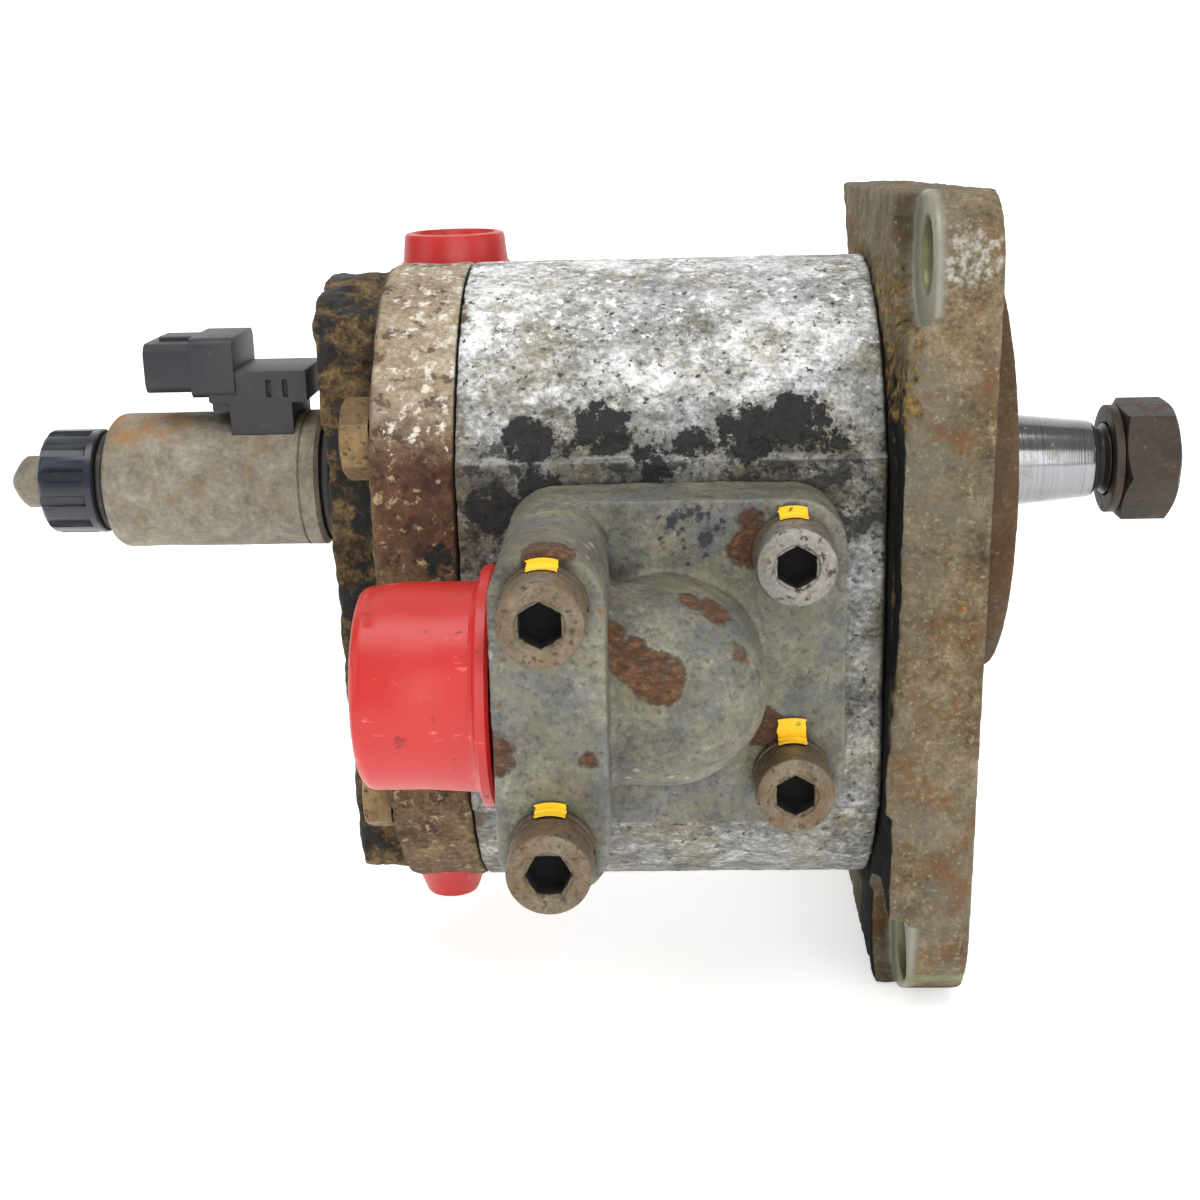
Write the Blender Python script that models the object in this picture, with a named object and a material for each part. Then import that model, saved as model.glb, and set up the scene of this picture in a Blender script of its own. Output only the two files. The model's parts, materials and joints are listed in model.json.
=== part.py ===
"""Hydraulic gear motor: mounting flange, two meshed gears, side elbow, solenoid relief valve.

Metres, +Z up. The X axis is the drive shaft's axis and points out of the motor at the driving
end. The origin is on that axis, in the mounting face of the flange. The inlet elbow is on -Y.
"""

import math

import bmesh
import bpy
from mathutils import Matrix, Vector

MM = 0.001
GAP = 0.3 * MM

# Gear set: two equal gears, the idler straight below the drive gear.
TEETH = 12
MODULE = 3.5 * MM
PRESSURE_ANGLE = math.radians(25)
ADDENDUM = 0.85 * MODULE
DEDENDUM = 1.15 * MODULE
TOOTH_THINNING = 0.6 * MM
CENTRE_DISTANCE = TEETH * MODULE
GEAR_TIP = CENTRE_DISTANCE / 2 + ADDENDUM
BORE_R = GEAR_TIP + 0.5 * MM
JOURNAL_R = 9.6 * MM
BUSH_R = 12.2 * MM
BLOCK_T = 18.0 * MM

# Stack along the shaft, from the mounting face backwards.
FLANGE_T = 15.3 * MM
PAD_T = 1.0 * MM
HOUSING_FRONT = -(FLANGE_T + PAD_T + GAP)
HOUSING_L = 74.0 * MM
HOUSING_REAR = HOUSING_FRONT - HOUSING_L
COVER_FRONT = HOUSING_REAR - GAP
COVER_REAR = COVER_FRONT - 14.9 * MM
BOSS_REAR = COVER_REAR - 12.2 * MM

# Outline of the housing across the shaft.
ARC_R = 45.0 * MM
ARC_DROP = 5.0 * MM
SIDE_Y = 43.9 * MM
PORT_Z = -22.0 * MM
PORT_X = -53.2 * MM
PAD_HALF = 32.5 * MM
PORT_R = 10.0 * MM

# Front flange.
PILOT_R = 39.95 * MM
PILOT_H = 6.5 * MM
FLANGE_CORNERS = ((-55.5, 54.5, 12.0), (72.0, 50.0, 15.0), (58.0, -98.0, 20.0), (-43.0, -98.0, 20.0))
FLANGE_HOLES = ((-44.5, 43.5), (58.0, 37.0), (49.0, -86.0), (-35.0, -86.0))
FLANGE_HOLE_R = 6.2 * MM
SPOTFACE_R = 13.2 * MM
SPOTFACE_DEPTH = 4.1 * MM
SEAL_BORE_R = 17.0 * MM
SEAL_FLOOR = -4.0 * MM
CIRCLIP_X = 4.0 * MM
CIRCLIP_T = 1.2 * MM
FACE_SEAL_IN = 26.9 * MM
FACE_SEAL_OUT = 28.9 * MM
FACE_SEAL_DEPTH = 1.4 * MM

# Housing bolts and dowels.
BOLT_Y = 32.0 * MM
BOLT_Z = (12.5 * MM, -54.5 * MM)
BOLT_R = 3.95 * MM
BOLT_HEAD_AF = 13.0 * MM
BOLT_HEAD_T = 5.3 * MM
BOLT_END = -6.0 * MM
DOWEL_Y = 36.0 * MM
DOWEL_R = 3.0 * MM
DOWEL_DEPTH = 7.5 * MM

# Tapered shaft end.
TAPER_R = 9.5 * MM
TAPER_END = 28.0 * MM
TAPER_SLOPE = 0.1
NECK_R = 6.2 * MM
THREAD_R = 6.85 * MM
SHAFT_END = 44.0 * MM
SHAFT_REAR = HOUSING_REAR + 0.9 * MM
NUT_AF = 20.8 * MM
NUT_FRONT = 42.6 * MM
NUT_REAR = 32.4 * MM
KEY_X = (12.0 * MM, 24.0 * MM)
KEY_W = 3.0 * MM
KEY_TOP = 10.2 * MM
KEY_FLOOR = 5.6 * MM

# Elbow flange on the near side port, with two long and two short screws.
SCREW_PITCH = 38.9 * MM
ELBOW_FACE = -SIDE_Y - GAP
ELBOW_PLATE = -58.5 * MM
ELBOW_BLOCK = -88.3 * MM
ELBOW_EDGE = 9.0 * MM
ELBOW_AXIS_Y = -67.0 * MM
ELBOW_TUBE_R = 16.5 * MM
ELBOW_BORE_R = 10.0 * MM
STUB_R = 15.1 * MM
STUB_END = -102.0 * MM
SCREW_R = 3.95 * MM
SCREW_HEAD_R = 6.5 * MM
SCREW_HEAD_H = 8.0 * MM
SCREW_END_Y = -28.9 * MM
SOCKET_AF = 6.0 * MM
WASHER_T = 1.7 * MM

# Relief valve and its solenoid, behind the drive shaft.
VALVE_Z = -1.0 * MM
VALVE_NOSE = -96.5 * MM
VALVE_R = 8.7 * MM
TUBE_R = 6.2 * MM
TUBE_BORE = 4.6 * MM
TUBE_END = -172.5 * MM
COIL_R = 13.2 * MM
COIL_FRONT = -120.8 * MM
COIL_REAR = -163.3 * MM
COIL_NUT_FRONT = -165.4 * MM
COIL_NUT_REAR = -176.3 * MM
COIL_NUT_R = 10.25 * MM
TIP_REAR = -184.0 * MM
POPPET_REAR = -111.3 * MM
PIN_FRONT = -116.0 * MM
ARMATURE_FRONT = -127.0 * MM
ARMATURE_REAR = -151.0 * MM

# Electrical connector over the coil: X and Z spans of its blocks, all to PLUG_HALF each side.
PLUG_HALF = 8.5 * MM
ARM_X = (-141.5 * MM, -122.6 * MM)
ARM_Z = (15.4 * MM, 21.4 * MM)
SADDLE_X = (-137.6 * MM, -125.6 * MM)
SADDLE_Z = (8.0 * MM, 17.0 * MM)
COLLAR_X = (-144.6 * MM, -136.2 * MM)
COLLAR_Z = (16.4 * MM, 27.8 * MM)
SHROUD_X = (-153.5 * MM, -144.0 * MM)
SHROUD_Z = (17.3 * MM, 26.8 * MM)
CAVITY_END = -141.0 * MM
PIN_X = (-149.0 * MM, -137.8 * MM)
PIN_Y = 2.6 * MM
PIN_Z = 22.0 * MM

# Red transport plugs in the rear cover: place along X and Y, height of the head's foot,
# the head's radius at its foot and its top, and its height.
TOP_PLUG = (-97.5 * MM, 30.0 * MM)
TOP_PLUG_SEAT = 36.2 * MM
TOP_PLUG_HEAD = (11.3 * MM, 10.3 * MM, 7.6 * MM)
BOTTOM_PLUG = (-101.0 * MM, 3.0 * MM)
BOTTOM_PLUG_SEAT = -82.6 * MM
BOTTOM_PLUG_HEAD = (8.2 * MM, 5.6 * MM, 8.6 * MM)
PLUG_STEM_R = 5.0 * MM

MATERIALS = {
    "cast_iron": ((0.17, 0.13, 0.09), 0.85, 0.3),
    "cover_iron": ((0.12, 0.07, 0.045), 0.85, 0.3),
    "aluminium": ((0.55, 0.55, 0.53), 0.55, 0.7),
    "elbow_iron": ((0.24, 0.23, 0.20), 0.6, 0.5),
    "machined_steel": ((0.65, 0.65, 0.66), 0.15, 1.0),
    "bolt_steel": ((0.25, 0.19, 0.13), 0.55, 0.7),
    "zinc_yellow": ((0.45, 0.33, 0.14), 0.45, 0.8),
    "black_steel": ((0.09, 0.065, 0.05), 0.5, 0.7),
    "coil_steel": ((0.33, 0.31, 0.26), 0.5, 0.6),
    "bronze": ((0.45, 0.28, 0.12), 0.35, 1.0),
    "rubber": ((0.02, 0.02, 0.02), 0.7, 0.0),
    "black_plastic": ((0.03, 0.033, 0.04), 0.4, 0.0),
    "red_plastic": ((0.7, 0.05, 0.03), 0.35, 0.0),
    "tinned_brass": ((0.6, 0.55, 0.42), 0.3, 1.0),
}


def clear_scene():
    for obj in list(bpy.data.objects):
        bpy.data.objects.remove(obj)


def make_materials():
    for name, (colour, roughness, metallic) in MATERIALS.items():
        material = bpy.data.materials.new(name)
        material.use_nodes = True
        shader = material.node_tree.nodes["Principled BSDF"]
        shader.inputs["Base Color"].default_value = (*colour, 1.0)
        shader.inputs["Roughness"].default_value = roughness
        shader.inputs["Metallic"].default_value = metallic


def make_axis(name, location, parent=None):
    """An empty on a joint's axis, which the moving pieces hang on."""
    axis = bpy.data.objects.new(name, None)
    axis.location = location
    axis.parent = parent
    bpy.context.scene.collection.objects.link(axis)
    return axis


def add_object(name, bm):
    bmesh.ops.remove_doubles(bm, verts=bm.verts[:], dist=1e-6)
    bmesh.ops.dissolve_degenerate(bm, edges=bm.edges[:], dist=1e-7)
    bmesh.ops.recalc_face_normals(bm, faces=bm.faces[:])
    mesh = bpy.data.meshes.new(name)
    bm.to_mesh(mesh)
    bm.free()
    obj = bpy.data.objects.new(name, mesh)
    bpy.context.scene.collection.objects.link(obj)
    return obj


def arc(centre, radius, start, end, steps):
    """Points of an arc in a plane, both ends included, angles in radians."""
    points = []
    for index in range(steps + 1):
        angle = start + (end - start) * index / steps
        points.append((centre[0] + radius * math.cos(angle), centre[1] + radius * math.sin(angle)))
    return points


def rounded(corners, steps=5):
    """A closed outline of straight sides whose corners (u, v, radius) are rounded, in metres."""
    outline = []
    for index, (u, v, radius) in enumerate(corners):
        here = Vector((u, v))
        back = (Vector(corners[index - 1][:2]) - here).normalized()
        ahead = (Vector(corners[(index + 1) % len(corners)][:2]) - here).normalized()
        half = back.angle(ahead) / 2
        centre = here + (back + ahead).normalized() * radius / math.sin(half)
        first = here + back * radius / math.tan(half) - centre
        last = here + ahead * radius / math.tan(half) - centre
        turn = first.angle_signed(last)
        for step in range(steps + 1):
            outline.append(tuple(centre + Matrix.Rotation(-turn * step / steps, 2) @ first))
    return outline


def box_outline(low_u, high_u, low_v, high_v, radius, steps=4):
    corners = ((low_u, low_v), (high_u, low_v), (high_u, high_v), (low_u, high_v))
    return rounded([(u, v, radius) for u, v in corners], steps)


def slab(name, outline, axis, low, high):
    """A prism: an outline in the plane across the axis, from one place on the axis to another."""
    order = {"X": lambda u, v: (low, u, v), "Y": lambda u, v: (u, low, v), "Z": lambda u, v: (u, v, low)}
    step = {"X": (high - low, 0, 0), "Y": (0, high - low, 0), "Z": (0, 0, high - low)}
    bm = bmesh.new()
    face = bm.faces.new([bm.verts.new(order[axis](u, v)) for u, v in outline])
    side = bmesh.ops.extrude_face_region(bm, geom=[face])
    moved = [item for item in side["geom"] if isinstance(item, bmesh.types.BMVert)]
    bmesh.ops.translate(bm, vec=step[axis], verts=moved)
    return add_object(name, bm)


def along(start, direction):
    """The matrix that takes the Z axis to this start point and direction."""
    return Matrix.Translation(start) @ Vector(direction).to_track_quat("Z", "Y").to_matrix().to_4x4()


def rod(name, start, end, radius, segments=24, end_radius=None):
    start = Vector(start)
    end = Vector(end)
    bm = bmesh.new()
    matrix = along((start + end) / 2, end - start)
    far = radius if end_radius is None else end_radius
    depth = (end - start).length
    bmesh.ops.create_cone(
        bm, cap_ends=True, segments=segments, radius1=radius, radius2=far, depth=depth, matrix=matrix
    )
    return add_object(name, bm)


def rod_x(name, x_start, x_end, y, z, radius, segments=24):
    return rod(name, (x_start, y, z), (x_end, y, z), radius, segments)


def rod_y(name, y_start, y_end, x, z, radius, segments=24):
    return rod(name, (x, y_start, z), (x, y_end, z), radius, segments)


def rod_z(name, z_start, z_end, x, y, radius, segments=24):
    return rod(name, (x, y, z_start), (x, y, z_end), radius, segments)


def hexagon(name, start, end, across_flats, turn=0.0):
    direction = Vector(end) - Vector(start)
    middle = (Vector(end) + Vector(start)) / 2
    matrix = along(middle, direction) @ Matrix.Rotation(turn, 4, "Z")
    radius = across_flats / math.sqrt(3)
    bm = bmesh.new()
    bmesh.ops.create_cone(
        bm, cap_ends=True, segments=6, radius1=radius, radius2=radius, depth=direction.length, matrix=matrix
    )
    return add_object(name, bm)


def ball(name, centre, radius):
    bm = bmesh.new()
    matrix = Matrix.Translation(centre)
    bmesh.ops.create_uvsphere(bm, u_segments=20, v_segments=10, radius=radius, matrix=matrix)
    return add_object(name, bm)


def turned(name, profile, start, direction=(1, 0, 0), segments=24, ring=False):
    """A turned piece: (distance along the axis, radius) points, spun round the axis.

    A ring's profile is a closed loop. Otherwise it runs from the axis back to the axis.
    """
    bm = bmesh.new()
    verts = [bm.verts.new((radius, 0, distance)) for distance, radius in profile]
    edges = [bm.edges.new(pair) for pair in zip(verts, verts[1:])]
    if ring:
        edges.append(bm.edges.new((verts[-1], verts[0])))
    bmesh.ops.spin(
        bm, geom=verts + edges, cent=(0, 0, 0), axis=(0, 0, 1), angle=math.tau, steps=segments
    )
    bmesh.ops.transform(bm, matrix=along(start, direction), verts=bm.verts[:])
    return add_object(name, bm)


def ring_x(name, x_start, x_end, y, z, inner, outer, segments=24):
    length = x_end - x_start
    profile = ((0, inner), (length, inner), (length, outer), (0, outer))
    return turned(name, profile, (x_start, y, z), (1, 0, 0), segments, ring=True)


def combine(target, tool, operation):
    """Join, cut or overlap two solids, keep the result in the first and remove the second."""
    modifier = target.modifiers.new(operation, "BOOLEAN")
    modifier.operation = operation
    modifier.object = tool
    bpy.context.view_layer.update()
    graph = bpy.context.evaluated_depsgraph_get()
    result = bpy.data.meshes.new_from_object(target.evaluated_get(graph))
    target.modifiers.clear()
    target.data = result
    bpy.data.objects.remove(tool)


def join(target, *tools):
    for tool in tools:
        combine(target, tool, "UNION")


def cut(target, *tools):
    for tool in tools:
        combine(target, tool, "DIFFERENCE")


def settle(obj, material, origin, parent):
    """Give a finished piece its material, its own origin and its parent empty."""
    bm = bmesh.new()
    bm.from_mesh(obj.data)
    bmesh.ops.remove_doubles(bm, verts=bm.verts[:], dist=1e-6)
    bmesh.ops.dissolve_degenerate(bm, edges=bm.edges[:], dist=1e-6)
    bmesh.ops.translate(bm, vec=-Vector(origin), verts=bm.verts[:])
    bm.to_mesh(obj.data)
    bm.free()
    obj.data.shade_smooth()
    obj.data.set_sharp_from_angle(angle=math.radians(35))
    obj.data.materials.clear()
    obj.data.materials.append(bpy.data.materials[material])
    obj.parent = parent
    obj.location = Vector(origin) - parent.matrix_world.translation
    return obj


def eight(radius, steps=16):
    """The outline round both gear axes: two overlapping circles, one above the other."""
    half = CENTRE_DISTANCE / 2
    reach = math.asin(half / radius)
    upper = arc((0, 0), radius, -reach, math.pi + reach, steps)
    lower = arc((0, -CENTRE_DISTANCE), radius, math.pi - reach, math.tau + reach, steps)
    return upper + lower[1:-1]


def eight_ring(name, x_start, x_end, inner, outer):
    ring = slab(name, eight(outer), "X", x_start, x_end)
    margin = 1 * MM
    cut(ring, slab("hole", eight(inner), "X", x_start - margin, x_end + margin))
    return ring


def housing_outline(grow=0.0, with_pads=True, steps=12):
    """The housing seen along the shaft: a round top and bottom, and a flat port pad on each side."""
    radius = ARC_R + grow
    side = SIDE_Y + grow
    if not with_pads:
        side -= 1.7 * MM
    top = (PORT_Z + PAD_HALF + ARC_DROP) / radius
    bottom = (PORT_Z - PAD_HALF + CENTRE_DISTANCE - ARC_DROP) / radius
    start = math.asin(top)
    lower = math.asin(bottom)
    outline = arc((0, -ARC_DROP), radius, start, math.pi - start, steps)
    outline += [(-side, PORT_Z + PAD_HALF), (-side, PORT_Z - PAD_HALF)]
    outline += arc((0, ARC_DROP - CENTRE_DISTANCE), radius, math.pi - lower, math.tau + lower, steps)
    outline += [(side, PORT_Z - PAD_HALF), (side, PORT_Z + PAD_HALF)]
    return outline


def bolt_places():
    return [(y, z) for z in BOLT_Z for y in (-BOLT_Y, BOLT_Y)]


def screw_places():
    """The elbow's screws as (x, z), the two at the outlet's side first."""
    half = SCREW_PITCH / 2
    return [(PORT_X + x * half, PORT_Z + z * half) for x in (-1, 1) for z in (1, -1)]


def make_front_flange(root):
    corners = [(y * MM, z * MM, radius * MM) for y, z, radius in FLANGE_CORNERS]
    flange = slab("front_flange", rounded(corners, 6), "X", -FLANGE_T, 0)
    pad = slab("pad", housing_outline(3 * MM), "X", -FLANGE_T - PAD_T, -FLANGE_T + 1 * MM)
    chamfer = 0.8 * MM
    pilot_profile = (
        (0, 0),
        (0, PILOT_R),
        (PILOT_H + 1 * MM - chamfer, PILOT_R),
        (PILOT_H + 1 * MM, PILOT_R - chamfer),
        (PILOT_H + 1 * MM, 0),
    )
    pilot = turned("pilot", pilot_profile, (-1 * MM, 0, 0), (1, 0, 0), 40)
    join(flange, pad, pilot)
    rear = -FLANGE_T - PAD_T - 1 * MM
    cut(flange, rod_x("shaft_hole", rear, 8 * MM, 0, 0, JOURNAL_R + 0.8 * MM, 24))
    cut(flange, rod_x("seal_bore", SEAL_FLOOR, 8 * MM, 0, 0, SEAL_BORE_R, 24))
    groove_end = CIRCLIP_X + CIRCLIP_T + GAP
    cut(flange, rod_x("groove", CIRCLIP_X - GAP, groove_end, 0, 0, SEAL_BORE_R + 1.3 * MM, 24))
    for y, z in FLANGE_HOLES:
        cut(flange, rod_x("hole", rear, 2 * MM, y * MM, z * MM, FLANGE_HOLE_R, 16))
        floor = -FLANGE_T + SPOTFACE_DEPTH
        cut(flange, rod_x("spotface", rear, floor, y * MM, z * MM, SPOTFACE_R, 20))
    for y, z in bolt_places():
        cut(flange, rod_x("tapped", rear, BOLT_END + 1.5 * MM, y, z, BOLT_R + 0.4 * MM, 12))
    for side in (-1, 1):
        dowel_end = HOUSING_FRONT + DOWEL_DEPTH + GAP
        cut(flange, rod_x("dowel", rear, dowel_end, side * DOWEL_Y, PORT_Z, DOWEL_R + GAP, 12))
    floor = -FLANGE_T - PAD_T + FACE_SEAL_DEPTH
    cut(flange, eight_ring("groove", rear, floor, FACE_SEAL_IN - GAP, FACE_SEAL_OUT + GAP))
    settle(flange, "cast_iron", (0, 0, 0), root)


def make_housing(root):
    housing = slab("gear_housing", housing_outline(), "X", HOUSING_REAR, HOUSING_FRONT)
    front = HOUSING_FRONT + 2 * MM
    rear = HOUSING_REAR - 2 * MM
    cut(housing, slab("bores", eight(BORE_R, 18), "X", rear, front))
    for y, z in bolt_places():
        cut(housing, rod_x("bolt_hole", rear, front, y, z, BOLT_R + 0.5 * MM, 12))
    for side in (-1, 1):
        y = side * DOWEL_Y
        depth = DOWEL_DEPTH + GAP
        for start, end in ((HOUSING_FRONT - depth, front), (rear, HOUSING_REAR + depth)):
            cut(housing, rod_x("dowel", start, end, y, PORT_Z, DOWEL_R + GAP, 12))
        outside = side * (SIDE_Y + 2 * MM)
        cut(housing, rod_y("port", outside, side * 10 * MM, PORT_X, PORT_Z, PORT_R, 20))
        for x, z in screw_places():
            bottom = side * (-SCREW_END_Y - 0.6 * MM)
            cut(housing, rod_y("tapped", outside, bottom, x, z, SCREW_R + GAP, 12))
    settle(housing, "aluminium", ((HOUSING_FRONT + HOUSING_REAR) / 2, 0, PORT_Z), root)


def make_rear_cover(root):
    cover = slab("rear_cover", housing_outline(0, False), "X", COVER_REAR, COVER_FRONT)
    boss = slab("boss", housing_outline(-1.6 * MM, False), "X", BOSS_REAR, COVER_REAR + 2 * MM)
    keep = slab("keep", box_outline(-22 * MM, 60 * MM, -100 * MM, 60 * MM, 3 * MM), "X", -0.2, 0)
    combine(boss, keep, "INTERSECT")
    join(cover, boss)
    rear = BOSS_REAR - 2 * MM
    front = COVER_FRONT + 2 * MM
    cut(cover, rod_x("valve_bore", rear, VALVE_NOSE + 1.5 * MM, 0, VALVE_Z, VALVE_R + GAP, 24))
    for y, z in bolt_places():
        cut(cover, rod_x("bolt_hole", rear, front, y, z, BOLT_R + 0.5 * MM, 12))
        cut(cover, rod_x("spotface", rear, COVER_REAR, y, z, 9.5 * MM, 16))
    for side in (-1, 1):
        dowel_end = COVER_FRONT - DOWEL_DEPTH - GAP
        cut(cover, rod_x("dowel", dowel_end, front, side * DOWEL_Y, PORT_Z, DOWEL_R + GAP, 12))
    floor = COVER_FRONT - FACE_SEAL_DEPTH
    cut(cover, eight_ring("groove", floor, front, FACE_SEAL_IN - GAP, FACE_SEAL_OUT + GAP))
    x, y = TOP_PLUG
    hole_r = PLUG_STEM_R + GAP
    cut(cover, rod_z("top_port", 42 * MM, 22 * MM, x, y, hole_r, 16))
    cut(cover, rod("drilling", (x, y, 24 * MM), (x, 0, VALVE_Z), 2.5 * MM, 12))
    x, y = BOTTOM_PLUG
    cut(cover, rod_z("bottom_port", -86 * MM, -8 * MM, x, y, hole_r, 16))
    settle(cover, "cover_iron", (COVER_REAR, 0, PORT_Z), root)


def tooth_half_angle(radius):
    """Half of a tooth's angular width at this radius, on an involute flank."""
    pitch_r = CENTRE_DISTANCE / 2
    base_r = pitch_r * math.cos(PRESSURE_ANGLE)
    thickness = math.pi * MODULE / 2 - TOOTH_THINNING
    at_pitch = thickness / (2 * pitch_r)
    pitch_involute = math.tan(PRESSURE_ANGLE) - PRESSURE_ANGLE
    if radius <= base_r:
        return at_pitch + pitch_involute
    angle = math.acos(base_r / radius)
    return at_pitch + pitch_involute - (math.tan(angle) - angle)


def gear_outline(centre_z, turn):
    """A spur gear of involute teeth, one tooth at the turn angle, measured from +Y to +Z."""
    root_r = CENTRE_DISTANCE / 2 - DEDENDUM
    base_r = CENTRE_DISTANCE / 2 * math.cos(PRESSURE_ANGLE)
    radii = [root_r] + [base_r + (GEAR_TIP - base_r) * step / 3 for step in range(4)]
    outline = []
    for tooth in range(TEETH):
        middle = turn + math.tau * tooth / TEETH
        for radius in radii:
            angle = middle - tooth_half_angle(radius)
            outline.append((radius * math.cos(angle), centre_z + radius * math.sin(angle)))
        for radius in reversed(radii):
            angle = middle + tooth_half_angle(radius)
            outline.append((radius * math.cos(angle), centre_z + radius * math.sin(angle)))
    return outline


def gear_span():
    """Front and rear face of both gears, between the bearing blocks."""
    front = HOUSING_FRONT - GAP - BLOCK_T - GAP
    rear = HOUSING_REAR + GAP + BLOCK_T + GAP
    return front, rear


def make_drive_shaft(axis):
    front, rear = gear_span()
    small = TAPER_R - TAPER_SLOPE * (TAPER_END - PILOT_H)
    chamfer = 0.8 * MM
    profile = (
        (SHAFT_REAR, 0),
        (SHAFT_REAR, JOURNAL_R - chamfer),
        (SHAFT_REAR + chamfer, JOURNAL_R),
        (PILOT_H - 1 * MM, JOURNAL_R),
        (PILOT_H, TAPER_R),
        (TAPER_END - chamfer, small + TAPER_SLOPE * chamfer),
        (TAPER_END, small - chamfer),
        (TAPER_END, NECK_R),
        (TAPER_END + 2.5 * MM, NECK_R),
        (TAPER_END + 3.2 * MM, THREAD_R),
        (SHAFT_END - chamfer, THREAD_R),
        (SHAFT_END, THREAD_R - chamfer),
        (SHAFT_END, 0),
    )
    shaft = turned("drive_shaft", profile, (0, 0, 0), (1, 0, 0), 28)
    join(shaft, slab("teeth", gear_outline(0, -math.pi / 2), "X", rear, front))
    keyway = box_outline(*KEY_X, -KEY_W / 2, KEY_W / 2, 1 * MM)
    cut(shaft, slab("keyway", keyway, "Y", KEY_FLOOR, KEY_TOP + 2 * MM))
    settle(shaft, "machined_steel", (0, 0, 0), axis)


def make_idler_gear(axis):
    front, rear = gear_span()
    ends = (HOUSING_FRONT - 0.9 * MM, SHAFT_REAR)
    gear = rod_x("idler_gear", ends[1], ends[0], 0, -CENTRE_DISTANCE, JOURNAL_R, 24)
    turn = math.pi / 2 + math.pi / TEETH
    join(gear, slab("teeth", gear_outline(-CENTRE_DISTANCE, turn), "X", rear, front))
    settle(gear, "machined_steel", (0, 0, -CENTRE_DISTANCE), axis)


def make_bearings(root):
    front, rear = gear_span()
    spans = {"front": (front + GAP, HOUSING_FRONT - GAP), "rear": (HOUSING_REAR + GAP, rear - GAP)}
    margin = 2 * MM
    for end, (low, high) in spans.items():
        block = slab(f"{end}_bearing_block", eight(BORE_R - GAP), "X", low, high)
        outer_face = high if end == "front" else low
        inward = -1 if end == "front" else 1
        groove = (outer_face - inward * margin, outer_face + inward * 1.8 * MM)
        cut(block, eight_ring("groove", min(groove), max(groove), 21.1 * MM, 23.1 * MM))
        for z in (0, -CENTRE_DISTANCE):
            cut(block, rod_x("bore", low - margin, high + margin, 0, z, BUSH_R + GAP, 24))
        settle(block, "aluminium", (low, 0, -CENTRE_DISTANCE / 2), root)
        seal_x = (outer_face, outer_face + inward * 1.5 * MM)
        seal = eight_ring(f"{end}_axial_seal", min(seal_x), max(seal_x), 21.4 * MM, 22.8 * MM)
        settle(seal, "rubber", (outer_face, 0, -CENTRE_DISTANCE / 2), root)
        for shaft, z in (("drive", 0), ("idler", -CENTRE_DISTANCE)):
            bush = ring_x(f"{end}_{shaft}_bush", low + GAP, high - GAP, 0, z, JOURNAL_R + GAP, BUSH_R)
            settle(bush, "bronze", (low, 0, z), root)


def make_face_seals(root):
    front_low = -FLANGE_T - PAD_T
    thick = 1.1 * MM
    front = eight_ring("front_housing_seal", front_low, front_low + thick, FACE_SEAL_IN, FACE_SEAL_OUT)
    settle(front, "rubber", (front_low, 0, -CENTRE_DISTANCE / 2), root)
    rear_low = COVER_FRONT - thick
    rear = eight_ring("rear_housing_seal", rear_low, COVER_FRONT, FACE_SEAL_IN, FACE_SEAL_OUT)
    settle(rear, "rubber", (COVER_FRONT, 0, -CENTRE_DISTANCE / 2), root)


def make_shaft_seal(root):
    outer = SEAL_BORE_R - GAP
    lip = JOURNAL_R + GAP
    low = SEAL_FLOOR + GAP
    profile = (
        (0, lip + 3.2 * MM),
        (0, outer),
        (7 * MM, outer),
        (7 * MM, lip + 1.2 * MM),
        (4.4 * MM, lip),
        (3.8 * MM, lip),
        (2.8 * MM, lip + 3.2 * MM),
    )
    seal = turned("shaft_seal", profile, (low, 0, 0), ring=True)
    settle(seal, "rubber", (low, 0, 0), root)
    outer = SEAL_BORE_R + 1.0 * MM
    clip = ring_x("seal_circlip", CIRCLIP_X, CIRCLIP_X + CIRCLIP_T, 0, 0, outer - 2.6 * MM, outer)
    opening = box_outline(-3 * MM, 3 * MM, -22 * MM, -10 * MM, 0.5 * MM)
    cut(clip, slab("opening", opening, "X", CIRCLIP_X - 1 * MM, CIRCLIP_X + CIRCLIP_T + 1 * MM))
    settle(clip, "black_steel", (CIRCLIP_X, 0, 0), root)


def make_shaft_fittings(axis):
    clear = GAP
    outline = box_outline(
        KEY_X[0] + clear, KEY_X[1] - clear, -KEY_W / 2 + clear, KEY_W / 2 - clear, 0.8 * MM
    )
    key = slab("shaft_key", outline, "Y", KEY_FLOOR + clear, KEY_TOP)
    settle(key, "black_steel", (KEY_X[0], 0, 0), axis)
    hole = THREAD_R + GAP
    nut = hexagon("shaft_nut", (NUT_REAR, 0, 0), (NUT_FRONT, 0, 0), NUT_AF, math.radians(8))
    corner = NUT_AF / math.sqrt(3)
    shape = (
        (0, 0),
        (0, corner - 1.6 * MM),
        (1.0 * MM, corner + 0.1 * MM),
        (NUT_FRONT - NUT_REAR - 1.0 * MM, corner + 0.1 * MM),
        (NUT_FRONT - NUT_REAR, corner - 1.6 * MM),
        (NUT_FRONT - NUT_REAR, 0),
    )
    combine(nut, turned("chamfers", shape, (NUT_REAR, 0, 0)), "INTERSECT")
    cut(nut, rod_x("hole", NUT_REAR - 2 * MM, NUT_FRONT + 2 * MM, 0, 0, hole, 20))
    settle(nut, "black_steel", (NUT_REAR, 0, 0), axis)
    washer = ring_x("lock_washer", NUT_REAR - 1.9 * MM, NUT_REAR - GAP, 0, 0, hole, 10.4 * MM)
    split = box_outline(5 * MM, 14 * MM, -0.6 * MM, 0.6 * MM, 0.2 * MM, 1)
    cut(washer, slab("split", split, "X", NUT_REAR - 4 * MM, NUT_REAR + 1 * MM))
    settle(washer, "black_steel", (NUT_REAR, 0, 0), axis)


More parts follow.
